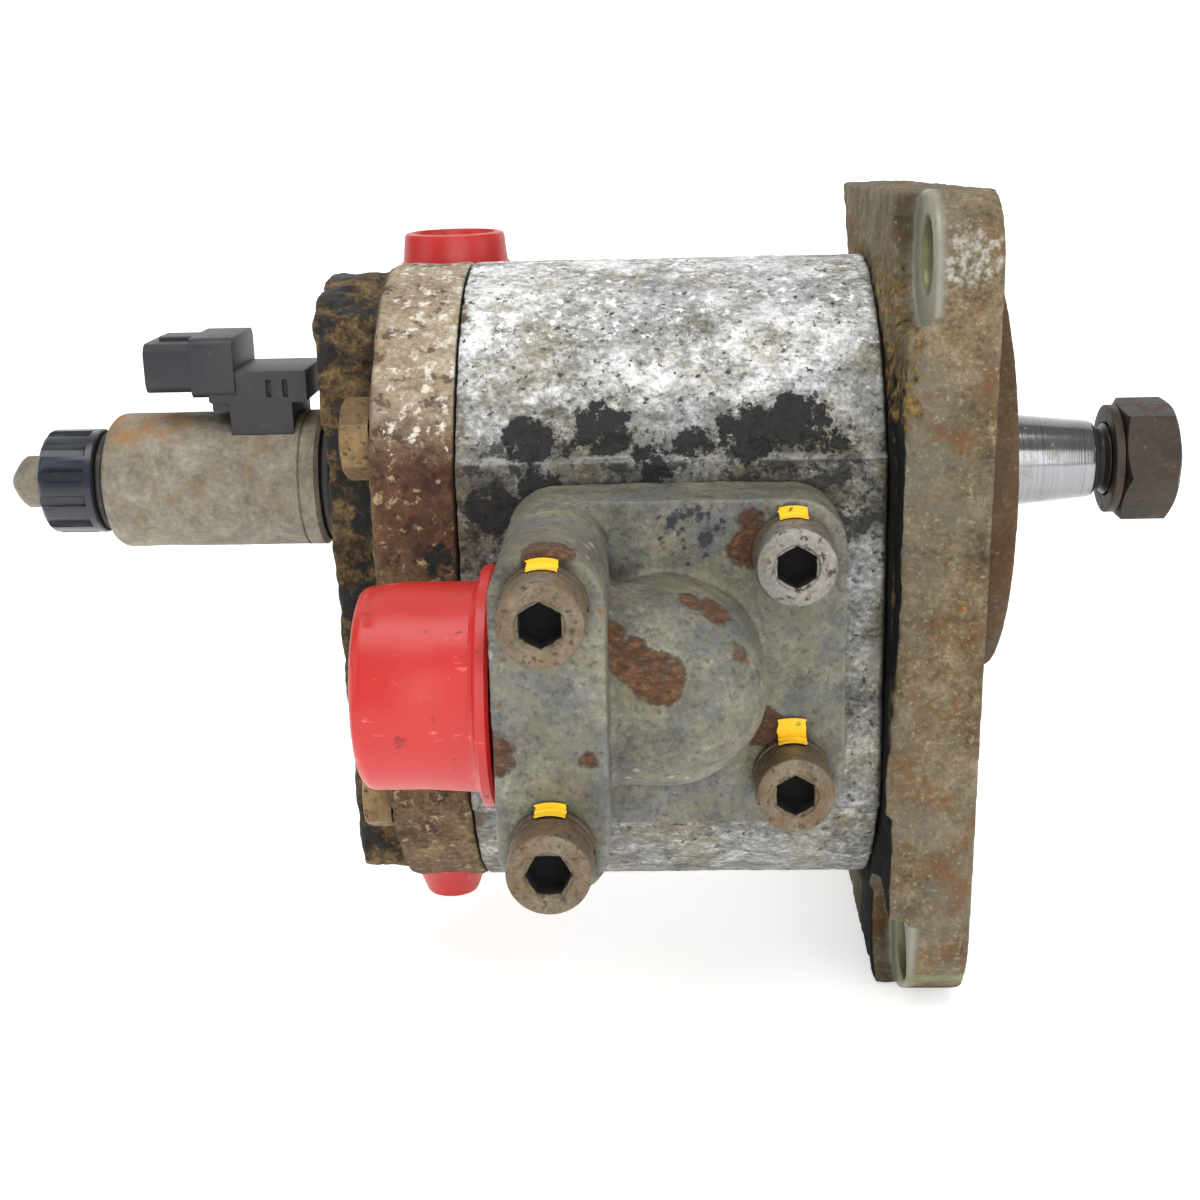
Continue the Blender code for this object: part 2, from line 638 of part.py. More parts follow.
def make_elbow(root):
    half = SCREW_PITCH / 2 + ELBOW_EDGE
    left = PORT_X - half
    plate_outline = box_outline(left, PORT_X + half, PORT_Z - half, PORT_Z + half, 8.6 * MM, 5)
    elbow = slab("elbow_flange", plate_outline, "Y", ELBOW_PLATE, ELBOW_FACE)
    block_right = left + 2 * ELBOW_EDGE
    inset = 0.3 * MM
    block = box_outline(
        left + inset, block_right, PORT_Z - half + inset, PORT_Z + half - inset, 8.4 * MM, 5
    )
    bend_x = PORT_X - 1.6 * MM
    bend = (bend_x, ELBOW_AXIS_Y, PORT_Z)
    join(
        elbow,
        slab("block", block, "Y", ELBOW_BLOCK, ELBOW_PLATE + 2 * MM),
        rod_x("tube", block_right - 4 * MM, bend_x, ELBOW_AXIS_Y, PORT_Z, ELBOW_TUBE_R, 24),
        ball("bend", bend, ELBOW_TUBE_R + 0.2 * MM),
        rod_y("riser", ELBOW_AXIS_Y, ELBOW_PLATE + 2 * MM, bend_x, PORT_Z, ELBOW_TUBE_R - 0.3 * MM, 24),
        rod_x("stub", STUB_END, left + 3 * MM, ELBOW_AXIS_Y, PORT_Z, STUB_R, 24),
    )
    cut(
        elbow,
        rod_x("bore", STUB_END - 2 * MM, PORT_X, ELBOW_AXIS_Y, PORT_Z, ELBOW_BORE_R, 20),
        ball("turn", (PORT_X, ELBOW_AXIS_Y, PORT_Z), ELBOW_BORE_R + 0.2 * MM),
        rod_y("port", ELBOW_AXIS_Y, ELBOW_FACE + 2 * MM, PORT_X, PORT_Z, ELBOW_BORE_R, 20),
    )
    groove = turned(
        "groove",
        ((0, 12.6 * MM), (4 * MM, 12.6 * MM), (4 * MM, 16.4 * MM), (0, 16.4 * MM)),
        (PORT_X, ELBOW_FACE + 2 * MM, PORT_Z),
        (0, -1, 0),
        24,
        ring=True,
    )
    cut(elbow, groove)
    for x, z in screw_places():
        hole_r = SCREW_R + 0.5 * MM
        cut(elbow, rod_y("hole", ELBOW_BLOCK - 3 * MM, ELBOW_FACE + 2 * MM, x, z, hole_r, 12))
    settle(elbow, "elbow_iron", (PORT_X, ELBOW_FACE, PORT_Z), root)
    section = arc((1.0 * MM, 14.5 * MM), 0.9 * MM, 0, math.tau * 5 / 6, 5)
    seal = turned("elbow_seal", section, (PORT_X, ELBOW_FACE, PORT_Z), (0, -1, 0), 24, ring=True)
    settle(seal, "rubber", (PORT_X, ELBOW_FACE, PORT_Z), root)


def make_elbow_screws(root):
    names = ("upper_outlet", "lower_outlet", "upper_flange", "lower_flange")
    for name, (x, z) in zip(names, screw_places()):
        seat = ELBOW_BLOCK if x < PORT_X else ELBOW_PLATE
        head_low = seat - GAP - WASHER_T - GAP
        chamfer = 0.6 * MM
        profile = (
            (0, 0),
            (0, SCREW_HEAD_R - chamfer),
            (chamfer, SCREW_HEAD_R),
            (SCREW_HEAD_H, SCREW_HEAD_R),
            (SCREW_HEAD_H, SCREW_R),
            (SCREW_END_Y - head_low + SCREW_HEAD_H - chamfer, SCREW_R),
            (SCREW_END_Y - head_low + SCREW_HEAD_H, SCREW_R - chamfer),
            (SCREW_END_Y - head_low + SCREW_HEAD_H, 0),
        )
        top = head_low - SCREW_HEAD_H
        screw = turned(f"{name}_screw", profile, (x, top, z), (0, 1, 0), 16)
        cut(screw, hexagon("socket", (x, top - 1 * MM, z), (x, top + 4 * MM, z), SOCKET_AF))
        settle(screw, "bolt_steel", (x, seat, z), root)
        sides = ((0, SCREW_R + GAP), (WASHER_T, SCREW_R + GAP), (WASHER_T, 6.7 * MM), (0, 6.7 * MM))
        start = (x, seat - GAP - WASHER_T, z)
        washer = turned(f"{name}_washer", sides, start, (0, 1, 0), 16, ring=True)
        slit = box_outline(x + 2 * MM, x + 9 * MM, z - 0.5 * MM, z + 0.5 * MM, 0.2 * MM, 1)
        cut(washer, slab("slit", slit, "Y", seat - 4 * MM, seat + 1 * MM))
        settle(washer, "bolt_steel", (x, seat, z), root)


def make_elbow_cap(axis):
    inner = STUB_R + GAP
    face = PORT_X - SCREW_PITCH / 2 - ELBOW_EDGE
    start = STUB_END - 2.2 * MM
    profile = (
        (0, 0),
        (0, 14.8 * MM),
        (0.9 * MM, 16.0 * MM),
        (2.6 * MM, 17.0 * MM),
        (face - 3 * MM - start, 17.3 * MM),
        (face - 2.3 * MM - start, 19.8 * MM),
        (face - GAP - start, 19.8 * MM),
        (face - GAP - start, inner),
        (1.6 * MM, inner),
        (1.6 * MM, 0),
    )
    cap = turned("elbow_cap", profile, (start, ELBOW_AXIS_Y, PORT_Z), (1, 0, 0), 28)
    settle(cap, "red_plastic", (start, ELBOW_AXIS_Y, PORT_Z), axis)


def make_plug(name, place, direction, seat, head, axis):
    """A tapered transport plug: a round stem in the port and a wide head outside it."""
    x, y = place
    wide, narrow, height = head
    edge = 1.0 * MM
    profile = (
        (-12 * MM, 0),
        (-12 * MM, PLUG_STEM_R - 0.6 * MM),
        (-11 * MM, PLUG_STEM_R - 0.1 * MM),
        (0, PLUG_STEM_R - 0.1 * MM),
        (0, wide),
        (height - edge, narrow),
        (height, narrow - edge),
        (height, 0),
    )
    plug = turned(name, profile, (x, y, seat), (0, 0, direction), 20)
    settle(plug, "red_plastic", (x, y, seat), axis)


def make_housing_bolts(root):
    for index, (y, z) in enumerate(bolt_places(), start=1):
        head = COVER_REAR - GAP
        bolt = hexagon(f"housing_bolt_{index}", (head - BOLT_HEAD_T, y, z), (head, y, z), BOLT_HEAD_AF)
        join(bolt, rod_x("shank", head - 1 * MM, BOLT_END, y, z, BOLT_R, 12))
        settle(bolt, "zinc_yellow", (COVER_REAR, y, z), root)
    for end, x in (("front", HOUSING_FRONT), ("rear", HOUSING_REAR)):
        for number, side in ((1, -1), (2, 1)):
            low = x - DOWEL_DEPTH
            high = x + DOWEL_DEPTH
            pin = rod_x(f"{end}_dowel_{number}", low, high, side * DOWEL_Y, PORT_Z, DOWEL_R, 12)
            settle(pin, "machined_steel", (x, side * DOWEL_Y, PORT_Z), root)


def make_valve(root, poppet_axis, armature_axis, adjuster_axis):
    profile = (
        (VALVE_NOSE, 1.8 * MM),
        (VALVE_NOSE, 6.0 * MM),
        (VALVE_NOSE - 3 * MM, VALVE_R),
        (BOSS_REAR + 1 * MM, VALVE_R),
        (BOSS_REAR + 1 * MM, TUBE_R),
        (TUBE_END, TUBE_R),
        (TUBE_END, TUBE_BORE),
        (VALVE_NOSE - 3 * MM, TUBE_BORE),
        (VALVE_NOSE - 3 * MM, 1.8 * MM),
    )
    body = turned("valve_cartridge", profile, (0, 0, VALVE_Z), ring=True)
    settle(body, "machined_steel", (BOSS_REAR, 0, VALVE_Z), root)
    inner = TUBE_BORE - GAP
    seat = VALVE_NOSE - 3 * MM - GAP
    nose = ((POPPET_REAR, 0), (POPPET_REAR, inner), (seat - 3 * MM, inner), (seat, 1.2 * MM), (seat, 0))
    poppet = turned("valve_poppet", nose, (0, 0, VALVE_Z), (1, 0, 0), 20)
    settle(poppet, "machined_steel", (POPPET_REAR, 0, VALVE_Z), poppet_axis)
    pin_r = 1.6 * MM
    core = (
        (ARMATURE_REAR, 0),
        (ARMATURE_REAR, inner),
        (ARMATURE_FRONT, inner),
        (ARMATURE_FRONT, pin_r),
        (PIN_FRONT, pin_r),
        (PIN_FRONT, 0),
    )
    armature = turned("solenoid_armature", core, (0, 0, VALVE_Z), (1, 0, 0), 20)
    settle(armature, "machined_steel", (ARMATURE_REAR, 0, VALVE_Z), armature_axis)
    make_spring(root)
    stem = (
        (0, 0),
        (0, 4.2 * MM),
        (8.2 * MM, 4.2 * MM),
        (8.2 * MM, 0),
    )
    adjuster = turned("adjuster_screw", stem, (COIL_NUT_REAR - GAP, 0, VALVE_Z), (1, 0, 0), 20)
    collar_end = COIL_NUT_REAR - 1.4 * MM
    collar = rod_x("collar", collar_end, COIL_NUT_REAR - GAP, 0, VALVE_Z, 5.4 * MM, 20)
    tip_end = (collar_end + 0.5 * MM, 0, VALVE_Z)
    tip = hexagon("tip", (TIP_REAR, 0, VALVE_Z), tip_end, 8.9 * MM, math.radians(20))
    crown = (
        (TIP_REAR, 0),
        (TIP_REAR, 1.6 * MM),
        (TIP_REAR + 1.2 * MM, 3.4 * MM),
        (TIP_REAR + 2.8 * MM, 5.3 * MM),
        (COIL_NUT_REAR, 5.3 * MM),
        (COIL_NUT_REAR, 0),
    )
    combine(tip, turned("crown", crown, (0, 0, VALVE_Z), (1, 0, 0), 20), "INTERSECT")
    join(adjuster, collar, tip)
    settle(adjuster, "coil_steel", (COIL_NUT_REAR, 0, VALVE_Z), adjuster_axis)


def make_spring(root):
    """The poppet's return spring, a coil round the armature's pin, with closed tube ends."""
    turns = 4.5
    per_turn = 10
    sides = 5
    wire_r = 0.45 * MM
    coil_r = 3.3 * MM
    start = POPPET_REAR - wire_r - GAP
    length = (ARMATURE_FRONT + wire_r + GAP) - start
    count = round(turns * per_turn)
    bm = bmesh.new()
    rings = []
    for index in range(count + 1):
        angle = math.tau * index / per_turn
        radial = Vector((0, math.cos(angle), math.sin(angle)))
        middle = Vector((start + length * index / count, 0, VALVE_Z)) + radial * coil_r
        ring = []
        for side in range(sides):
            round_angle = math.tau * side / sides
            offset = radial * math.cos(round_angle) + Vector((1, 0, 0)) * math.sin(round_angle)
            ring.append(bm.verts.new(middle + offset * wire_r))
        rings.append(ring)
    for back, ahead in zip(rings, rings[1:]):
        for side in range(sides):
            following = (side + 1) % sides
            bm.faces.new((back[side], back[following], ahead[following], ahead[side]))
    bm.faces.new(rings[0])
    bm.faces.new(list(reversed(rings[-1])))
    spring = add_object("poppet_spring", bm)
    settle(spring, "machined_steel", (POPPET_REAR, 0, VALVE_Z), root)


def make_solenoid(root):
    bore = TUBE_R + GAP
    edge = 3.0 * MM
    profile = [(COIL_FRONT, bore), (COIL_FRONT, COIL_R - 0.6 * MM), (COIL_FRONT - 0.6 * MM, COIL_R)]
    for distance, radius in arc((COIL_REAR + edge, COIL_R - edge), edge, math.pi / 2, math.pi, 4):
        profile.append((distance, radius))
    profile.append((COIL_REAR, bore))
    coil = turned("coil_can", profile, (0, 0, VALVE_Z), (1, 0, 0), 28, ring=True)
    settle(coil, "coil_steel", (COIL_FRONT, 0, VALVE_Z), root)
    front = ring_x(
        "coil_front_seal", COIL_FRONT + GAP, BOSS_REAR - GAP, 0, VALVE_Z, bore, 12.4 * MM
    )
    settle(front, "rubber", (BOSS_REAR, 0, VALVE_Z), root)
    rear = ring_x(
        "coil_rear_seal", COIL_NUT_FRONT + GAP, COIL_REAR - GAP, 0, VALVE_Z, bore, 9.7 * MM
    )
    settle(rear, "rubber", (COIL_REAR, 0, VALVE_Z), root)
    make_coil_nut(root)


def make_coil_nut(root):
    flutes = 12
    knurl_front = COIL_NUT_REAR + 9 * MM
    outline = []
    for flute in range(flutes):
        middle = math.tau * flute / flutes
        land = ((-0.16, COIL_NUT_R), (0.10, COIL_NUT_R))
        groove = ((0.15, 9.3 * MM), (0.30, 9.3 * MM))
        for offset, radius in land + groove:
            angle = middle + offset
            outline.append((radius * math.cos(angle), VALVE_Z + radius * math.sin(angle)))
    nut = slab("coil_nut", outline, "X", COIL_NUT_REAR, knurl_front)
    collar_start = knurl_front - 0.6 * MM
    join(nut, rod_x("collar", collar_start, COIL_NUT_FRONT, 0, VALVE_Z, COIL_NUT_R, 24))
    bore_end = TUBE_END - 0.8 * MM
    cut(nut, rod_x("bore", bore_end, COIL_NUT_FRONT + 2 * MM, 0, VALVE_Z, TUBE_R + GAP, 24))
    cut(nut, rod_x("opening", COIL_NUT_REAR - 2 * MM, bore_end + 1 * MM, 0, VALVE_Z, 4.6 * MM, 20))
    settle(nut, "black_plastic", (COIL_NUT_FRONT, 0, VALVE_Z), root)


def make_connector(root):
    low = -PLUG_HALF
    high = PLUG_HALF
    arm = box_outline(*ARM_X, *ARM_Z, 0.8 * MM, 2)
    body = slab("connector_housing", arm, "Y", low, high)
    saddle = slab("saddle", box_outline(*SADDLE_X, *SADDLE_Z, 0.6 * MM, 2), "Y", low, high)
    rim = 0.6 * MM
    collar = slab("collar", box_outline(low - rim, high + rim, *COLLAR_Z, 2.0 * MM, 3), "X", *COLLAR_X)
    shroud = slab("shroud", box_outline(low, high, *SHROUD_Z, 2.4 * MM, 3), "X", *SHROUD_X)
    join(body, saddle, collar, shroud)
    wall = 1.5 * MM
    inside = box_outline(low + wall, high - wall, SHROUD_Z[0] + wall, SHROUD_Z[1] - wall, 1.6 * MM, 3)
    cavity = slab("cavity", inside, "X", SHROUD_X[0] - 2.5 * MM, CAVITY_END)
    coil = rod_x("coil_space", COLLAR_X[0], COIL_FRONT + 3 * MM, 0, VALVE_Z, COIL_R + GAP, 28)
    cut(body, cavity, coil)
    for number, y in ((1, -PIN_Y), (2, PIN_Y)):
        slot = box_outline(y - 1.7 * MM, y + 1.7 * MM, PIN_Z - 0.7 * MM, PIN_Z + 0.7 * MM, 0.2 * MM, 1)
        cut(body, slab("slot", slot, "X", CAVITY_END - 2 * MM, PIN_X[1] + GAP))
        blade = box_outline(y - 1.4 * MM, y + 1.4 * MM, PIN_Z - 0.4 * MM, PIN_Z + 0.4 * MM, 0.2 * MM, 1)
        pin = slab(f"terminal_pin_{number}", blade, "X", *PIN_X)
        settle(pin, "tinned_brass", (PIN_X[1], y, PIN_Z), root)
    settle(body, "black_plastic", (SADDLE_X[1], 0, ARM_Z[0]), root)


def main():
    clear_scene()
    make_materials()
    root = make_axis("motor", (0, 0, 0))
    valve_place = (BOSS_REAR, 0, VALVE_Z)
    axes = {
        "shaft": (0, 0, 0),
        "idler": (0, 0, -CENTRE_DISTANCE),
        "poppet": valve_place,
        "armature": valve_place,
        "adjuster": (COIL_NUT_REAR, 0, VALVE_Z),
        "cap": (STUB_END, ELBOW_AXIS_Y, PORT_Z),
        "top_plug": (*TOP_PLUG, TOP_PLUG_SEAT),
        "bottom_plug": (*BOTTOM_PLUG, BOTTOM_PLUG_SEAT),
    }
    empties = {name: make_axis(f"{name}_axis", place, root) for name, place in axes.items()}
    bpy.context.view_layer.update()
    make_front_flange(root)
    make_housing(root)
    make_rear_cover(root)
    make_drive_shaft(empties["shaft"])
    make_idler_gear(empties["idler"])
    make_bearings(root)
    make_face_seals(root)
    make_shaft_seal(root)
    make_shaft_fittings(empties["shaft"])
    make_elbow(root)
    make_elbow_screws(root)
    make_elbow_cap(empties["cap"])
    make_plug("top_plug", TOP_PLUG, 1, TOP_PLUG_SEAT, TOP_PLUG_HEAD, empties["top_plug"])
    make_plug("bottom_plug", BOTTOM_PLUG, -1, BOTTOM_PLUG_SEAT, BOTTOM_PLUG_HEAD, empties["bottom_plug"])
    make_housing_bolts(root)
    make_valve(root, empties["poppet"], empties["armature"], empties["adjuster"])
    make_solenoid(root)
    make_connector(root)


main()
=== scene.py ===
"""Looks for a weathered hydraulic gear motor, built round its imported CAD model.

Metres, +Z up. +X is the drive shaft's way out of the motor, and the port elbow is on -Y.
"""

import json
import math
import statistics

import bmesh
import bpy
from mathutils import Matrix, Vector, noise


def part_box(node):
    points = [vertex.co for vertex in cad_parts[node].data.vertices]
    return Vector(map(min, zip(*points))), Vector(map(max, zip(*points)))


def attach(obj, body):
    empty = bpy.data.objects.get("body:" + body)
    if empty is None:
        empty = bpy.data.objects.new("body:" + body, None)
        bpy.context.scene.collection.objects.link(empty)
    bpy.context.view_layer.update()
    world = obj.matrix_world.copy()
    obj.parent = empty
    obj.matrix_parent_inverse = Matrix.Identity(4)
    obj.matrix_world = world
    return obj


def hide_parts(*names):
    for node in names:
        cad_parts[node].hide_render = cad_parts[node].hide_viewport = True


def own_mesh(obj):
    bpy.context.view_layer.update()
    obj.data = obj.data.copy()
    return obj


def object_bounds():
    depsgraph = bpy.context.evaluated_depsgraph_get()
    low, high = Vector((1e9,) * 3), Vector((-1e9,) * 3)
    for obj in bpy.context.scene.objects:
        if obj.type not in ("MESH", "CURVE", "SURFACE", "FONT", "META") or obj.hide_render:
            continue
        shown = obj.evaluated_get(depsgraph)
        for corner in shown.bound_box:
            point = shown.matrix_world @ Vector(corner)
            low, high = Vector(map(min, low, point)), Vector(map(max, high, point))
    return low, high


MM = 0.001
FINE = 96
GAP = 0.3 * MM

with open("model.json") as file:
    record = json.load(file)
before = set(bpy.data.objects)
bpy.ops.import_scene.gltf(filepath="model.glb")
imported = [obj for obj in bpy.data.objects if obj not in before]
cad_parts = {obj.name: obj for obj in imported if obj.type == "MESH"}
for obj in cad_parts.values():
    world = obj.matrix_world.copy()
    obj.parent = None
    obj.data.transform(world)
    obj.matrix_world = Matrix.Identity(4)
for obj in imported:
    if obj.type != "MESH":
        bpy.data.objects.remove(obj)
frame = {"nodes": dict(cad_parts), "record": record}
cad_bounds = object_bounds()


def low(node, axis):
    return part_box(node)[0]["XYZ".index(axis)]


def high(node, axis):
    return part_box(node)[1]["XYZ".index(axis)]


def middle(node, axis):
    return (low(node, axis) + high(node, axis)) / 2


# Housing: two arcs joined by straight sides, with a square pad round each port.
HOUSING_X = (low("gear_housing", "X"), high("gear_housing", "X"))
SIDE_Y = high("gear_housing", "Y")
ARC_R = 45.0 * MM
ARC_TOP = high("gear_housing", "Z") - ARC_R
ARC_BOTTOM = low("gear_housing", "Z") + ARC_R
PAD_HALF = 32.5 * MM
PORT_X = middle("elbow_seal", "X")
PORT_Z = (ARC_TOP + ARC_BOTTOM) / 2 - 1.0 * MM
PAD_TOP = PORT_Z + PAD_HALF
PORT_R = 10.0 * MM
GEAR_Z = middle("idler_gear", "Z")
BORE_R = 24.5 * MM
BOLTS = [(side * 32.0 * MM, z) for side in (-1, 1) for z in (12.5 * MM, -54.5 * MM)]
BOLT_R = 4.2 * MM
BOLT_HEAD_SPACE_R = 9.5 * MM

# Flange at the driving end: corners and holes across the shaft, in mm.
FLANGE_BACK = -15.3 * MM
PILOT_END = high("front_flange", "X")
PILOT_R = 39.95 * MM
FLANGE_CORNERS = ((-55.5, 54.5, 12.0), (72.0, 50.0, 15.0), (58.0, -98.0, 20.0), (-43.0, -98.0, 20.0))
FLANGE_HOLES = ((-44.5, 43.5), (58.0, 37.0), (49.0, -86.0), (-35.0, -86.0))
HOLE_R = 6.2 * MM
SEAL_FLOOR = -4.0 * MM
SHAFT_HOLE_R = 10.4 * MM
SPOTFACE_R = 13.2 * MM
SPOTFACE_FLOOR = FLANGE_BACK + 4.1 * MM
SEAL_BORE_R = 17.0 * MM

# Rear cover and its valve boss.
COVER_X = (-105.8 * MM, high("rear_cover", "X"))
BOSS_X = low("rear_cover", "X")
BOSS_Y = -22.0 * MM
BOSS_SLANT = 0.035
VALVE_BORE_R = 9.0 * MM
PLUG_PORT_R = 5.4 * MM

# Port elbow.
SCREW_PITCH = 38.9 * MM
ELBOW_EDGE = 9.0 * MM
ELBOW_HALF = SCREW_PITCH / 2 + ELBOW_EDGE
ELBOW_FACE = high("elbow_flange", "Y")
ELBOW_PLATE = -58.5 * MM
ELBOW_BLOCK = low("elbow_flange", "Y")
ELBOW_Y = middle("elbow_cap", "Y")
ELBOW_R = 16.5 * MM
ELBOW_BEND_X = PORT_X - 1.6 * MM
STUB_R = 15.1 * MM
STUB_END = low("elbow_flange", "X")
SCREW_R = 4.0 * MM
TAPPED_Y = 28.3 * MM
HEAD_R = 6.5 * MM
HEAD_H = 8.0 * MM

ELBOW_SCREWS = ("upper_outlet", "lower_outlet", "upper_flange", "lower_flange")
PAINT_CLIMB = {
    "upper_outlet": 0.6 * MM,
    "lower_outlet": 0.8 * MM,
    "upper_flange": 0.9 * MM,
    "lower_flange": 3.2 * MM,
}

# Shaft end: taper, thread and nut.
TAPER_END = 28.0 * MM
TAPER_R = 9.5 * MM
JOURNAL_R = 9.6 * MM
THREAD_R = 6.85 * MM
THREAD_ROOT_R = 6.1 * MM
NUT_ACROSS = 20.8 * MM
NUT_TURN = math.radians(8)

# Relief valve, behind the drive shaft.
VALVE_Z = middle("coil_can", "Z")
COIL_R = (high("coil_can", "Z") - low("coil_can", "Z")) / 2
TUBE_R = 6.5 * MM
ARMATURE_TRAVEL = 2.1 * MM
TIP_TURN = 0.35
FLUTES = 12
FLUTE_LAND = (-0.17, -0.10, 0.0, 0.08)
FLUTE_GROOVE = (0.13, 0.2, 0.28, 0.31)


# ---------------------------------------------------------------- shapes


def add_object(name, bm):
    bmesh.ops.recalc_face_normals(bm, faces=bm.faces[:])
    mesh = bpy.data.meshes.new(name)
    bm.to_mesh(mesh)
    bm.free()
    obj = bpy.data.objects.new(name, mesh)
    bpy.context.scene.collection.objects.link(obj)
    return obj


def in_mm(points):
    return [(a * MM, b * MM) for a, b in points]


def arc(centre, radius, start, end, steps):
    turns = [start + (end - start) * step / steps for step in range(steps + 1)]
    return [(centre[0] + radius * math.cos(a), centre[1] + radius * math.sin(a)) for a in turns]


def rounded(corners, steps=10):
    """An outline through (u, v, radius) corners, each turned with an arc of that radius."""
    outline = []
    count = len(corners)
    for index, (u, v, radius) in enumerate(corners):
        here = Vector((u, v))
        before = (Vector(corners[index - 1][:2]) - here).normalized()
        after = (Vector(corners[(index + 1) % count][:2]) - here).normalized()
        half = before.angle(after) / 2
        centre = here + (before + after).normalized() * radius / math.sin(half)
        first = here + before * radius / math.tan(half) - centre
        last = here + after * radius / math.tan(half) - centre
        start = math.atan2(first.y, first.x)
        sweep = (math.atan2(last.y, last.x) - start + math.pi) % math.tau - math.pi
        outline += arc(centre, radius, start, start + sweep, steps)
    return outline


def box_outline(low_u, high_u, low_v, high_v, radius, steps=8):
    corners = ((low_u, low_v), (high_u, low_v), (high_u, high_v), (low_u, high_v))
    return rounded([(u, v, radius) for u, v in corners], steps)


def lift(point, axis, height):
    """The place in space of a point across an axis, at this height along it."""
    place = list(point)
    place.insert("XYZ".index(axis), height)
    return place


def slab(name, outline, axis, start, end):
    """A straight block of this outline, from start to end along the axis."""
    bm = bmesh.new()
    ends = [[bm.verts.new(lift(point, axis, w)) for point in outline] for w in (start, end)]
    bm.faces.new(ends[0])
    bm.faces.new(ends[1])
    count = len(outline)
    for index in range(count):
        after = (index + 1) % count
        bm.faces.new((ends[0][index], ends[0][after], ends[1][after], ends[1][index]))
    return add_object(name, bm)


def block(name, u, v, radius, axis, reach, steps=8):
    """A rounded block: its spans across the axis and its reach along it, in mm."""
    sides = box_outline(u[0] * MM, u[1] * MM, v[0] * MM, v[1] * MM, radius * MM, steps)
    return slab(name, sides, axis, reach[0] * MM, reach[1] * MM)


def along(start, direction):
    turn = Vector(direction).to_track_quat("Z", "Y").to_matrix().to_4x4()
    return Matrix.Translation(start) @ turn


def turned(name, profile, start, direction=(1, 0, 0), segments=FINE, ring=False):
    """A lathe piece: (distance along the axis, radius) points spun round it.

    A ring's profile is a closed loop. Otherwise it runs from the axis back to the axis.
    """
    bm = bmesh.new()
    verts = [bm.verts.new((radius, 0, distance)) for distance, radius in profile]
    edges = [bm.edges.new(pair) for pair in zip(verts, verts[1:])]
    if ring:
        edges.append(bm.edges.new((verts[-1], verts[0])))
    bmesh.ops.spin(
        bm, geom=verts + edges, cent=(0, 0, 0), axis=(0, 0, 1), angle=math.tau, steps=segments
    )
    bmesh.ops.remove_doubles(bm, verts=bm.verts[:], dist=1e-6)
    bmesh.ops.transform(bm, matrix=along(start, direction), verts=bm.verts[:])
    return add_object(name, bm)


def rod(name, start, end, radius, segments=48):
    length = (Vector(end) - Vector(start)).length
    profile = ((0, 0), (0, radius), (length, radius), (length, 0))
    return turned(name, profile, start, Vector(end) - Vector(start), segments)


def hexagon(name, start, end, across_flats, turn=0.0):
    radius = across_flats / math.sqrt(3)
    outline = arc((0, 0), radius, turn, turn + math.tau * 5 / 6, 5)
    length = (Vector(end) - Vector(start)).length
    piece = slab(name, outline, "Z", 0, length)
    piece.data.transform(along(start, Vector(end) - Vector(start)))
    return piece


def ball(name, centre, radius):
    bm = bmesh.new()
    matrix = Matrix.Translation(centre)
    bmesh.ops.create_uvsphere(bm, u_segments=40, v_segments=24, radius=radius, matrix=matrix)
    return add_object(name, bm)


def apply_modifiers(obj):
    graph = bpy.context.evaluated_depsgraph_get()
    mesh = bpy.data.meshes.new_from_object(obj.evaluated_get(graph), depsgraph=graph)
    obj.modifiers.clear()
    obj.data = mesh


def combine(obj, other, operation):
    modifier = obj.modifiers.new("combine", "BOOLEAN")
    modifier.operation = operation
    modifier.solver = "EXACT"
    modifier.object = other
    apply_modifiers(obj)
    bpy.data.objects.remove(other)


def join(obj, *others):
    for other in others:
        combine(obj, other, "UNION")


def cut(obj, *cutters):
    for cutter in cutters:
        combine(obj, cutter, "DIFFERENCE")


def drill(obj, axis, places, start, end, radius, segments=48):
    """Cuts a round hole at each place across the axis, from start to end along it."""
    for place in places:
        cut(obj, rod("drill", lift(place, axis, start), lift(place, axis, end), radius, segments))


def soften(obj, width, segments=2):
    """Rounds every sharp edge by this width."""
    modifier = obj.modifiers.new("soften", "BEVEL")
    modifier.width = width
    modifier.segments = segments
    modifier.limit_method = "ANGLE"
    modifier.angle_limit = math.radians(35)
    modifier.harden_normals = False
    apply_modifiers(obj)


def cast(obj, voxel, rounding):
    """Melts a sharp solid into an even skin with rounded edges and filled corners."""
    remesh = obj.modifiers.new("remesh", "REMESH")
    remesh.mode = "VOXEL"
    remesh.voxel_size = voxel
    apply_modifiers(obj)
    smooth = obj.modifiers.new("smooth", "SMOOTH")
    smooth.factor = 0.5
    smooth.iterations = rounding
    apply_modifiers(obj)


def roughen(obj, layers, keep=None):
    """Moves the skin in and out by noise: layers of (grain size in mm, depth in mm, sharpness).

    keep(point) is 0 where a machined face stays smooth and 1 on the rough skin.
    """
    mesh = obj.data
    for vertex, normal in zip(mesh.vertices, [entry.vector.copy() for entry in mesh.vertex_normals]):
        point = vertex.co
        share = keep(point) if keep else 1.0
        if share <= 0:
            continue
        move = 0.0
        for size, depth, sharp in layers:
            value = noise.noise(point / (size * MM))
            move += depth * MM * (value if not sharp else -max(0.0, value - sharp) * 2)
        vertex.co = point + normal * move * share


def finish_shading(obj, angle=35):
    obj.data.shade_smooth()
    obj.data.set_sharp_from_angle(angle=math.radians(angle))


def body_of_node(node):
    for body, members in frame["record"]["behaviour"]["bodies"].items():
        if node in members:
            return body
    return None


def show(obj, material, *nodes, body=None, angle=35):
    """Puts a finished piece in place of its CAD nodes, on the same body."""
    finish_shading(obj, angle)
    obj.data.materials.clear()
    obj.data.materials.append(material)
    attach(obj, body or body_of_node(nodes[0]))
    if nodes:
        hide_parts(*nodes)


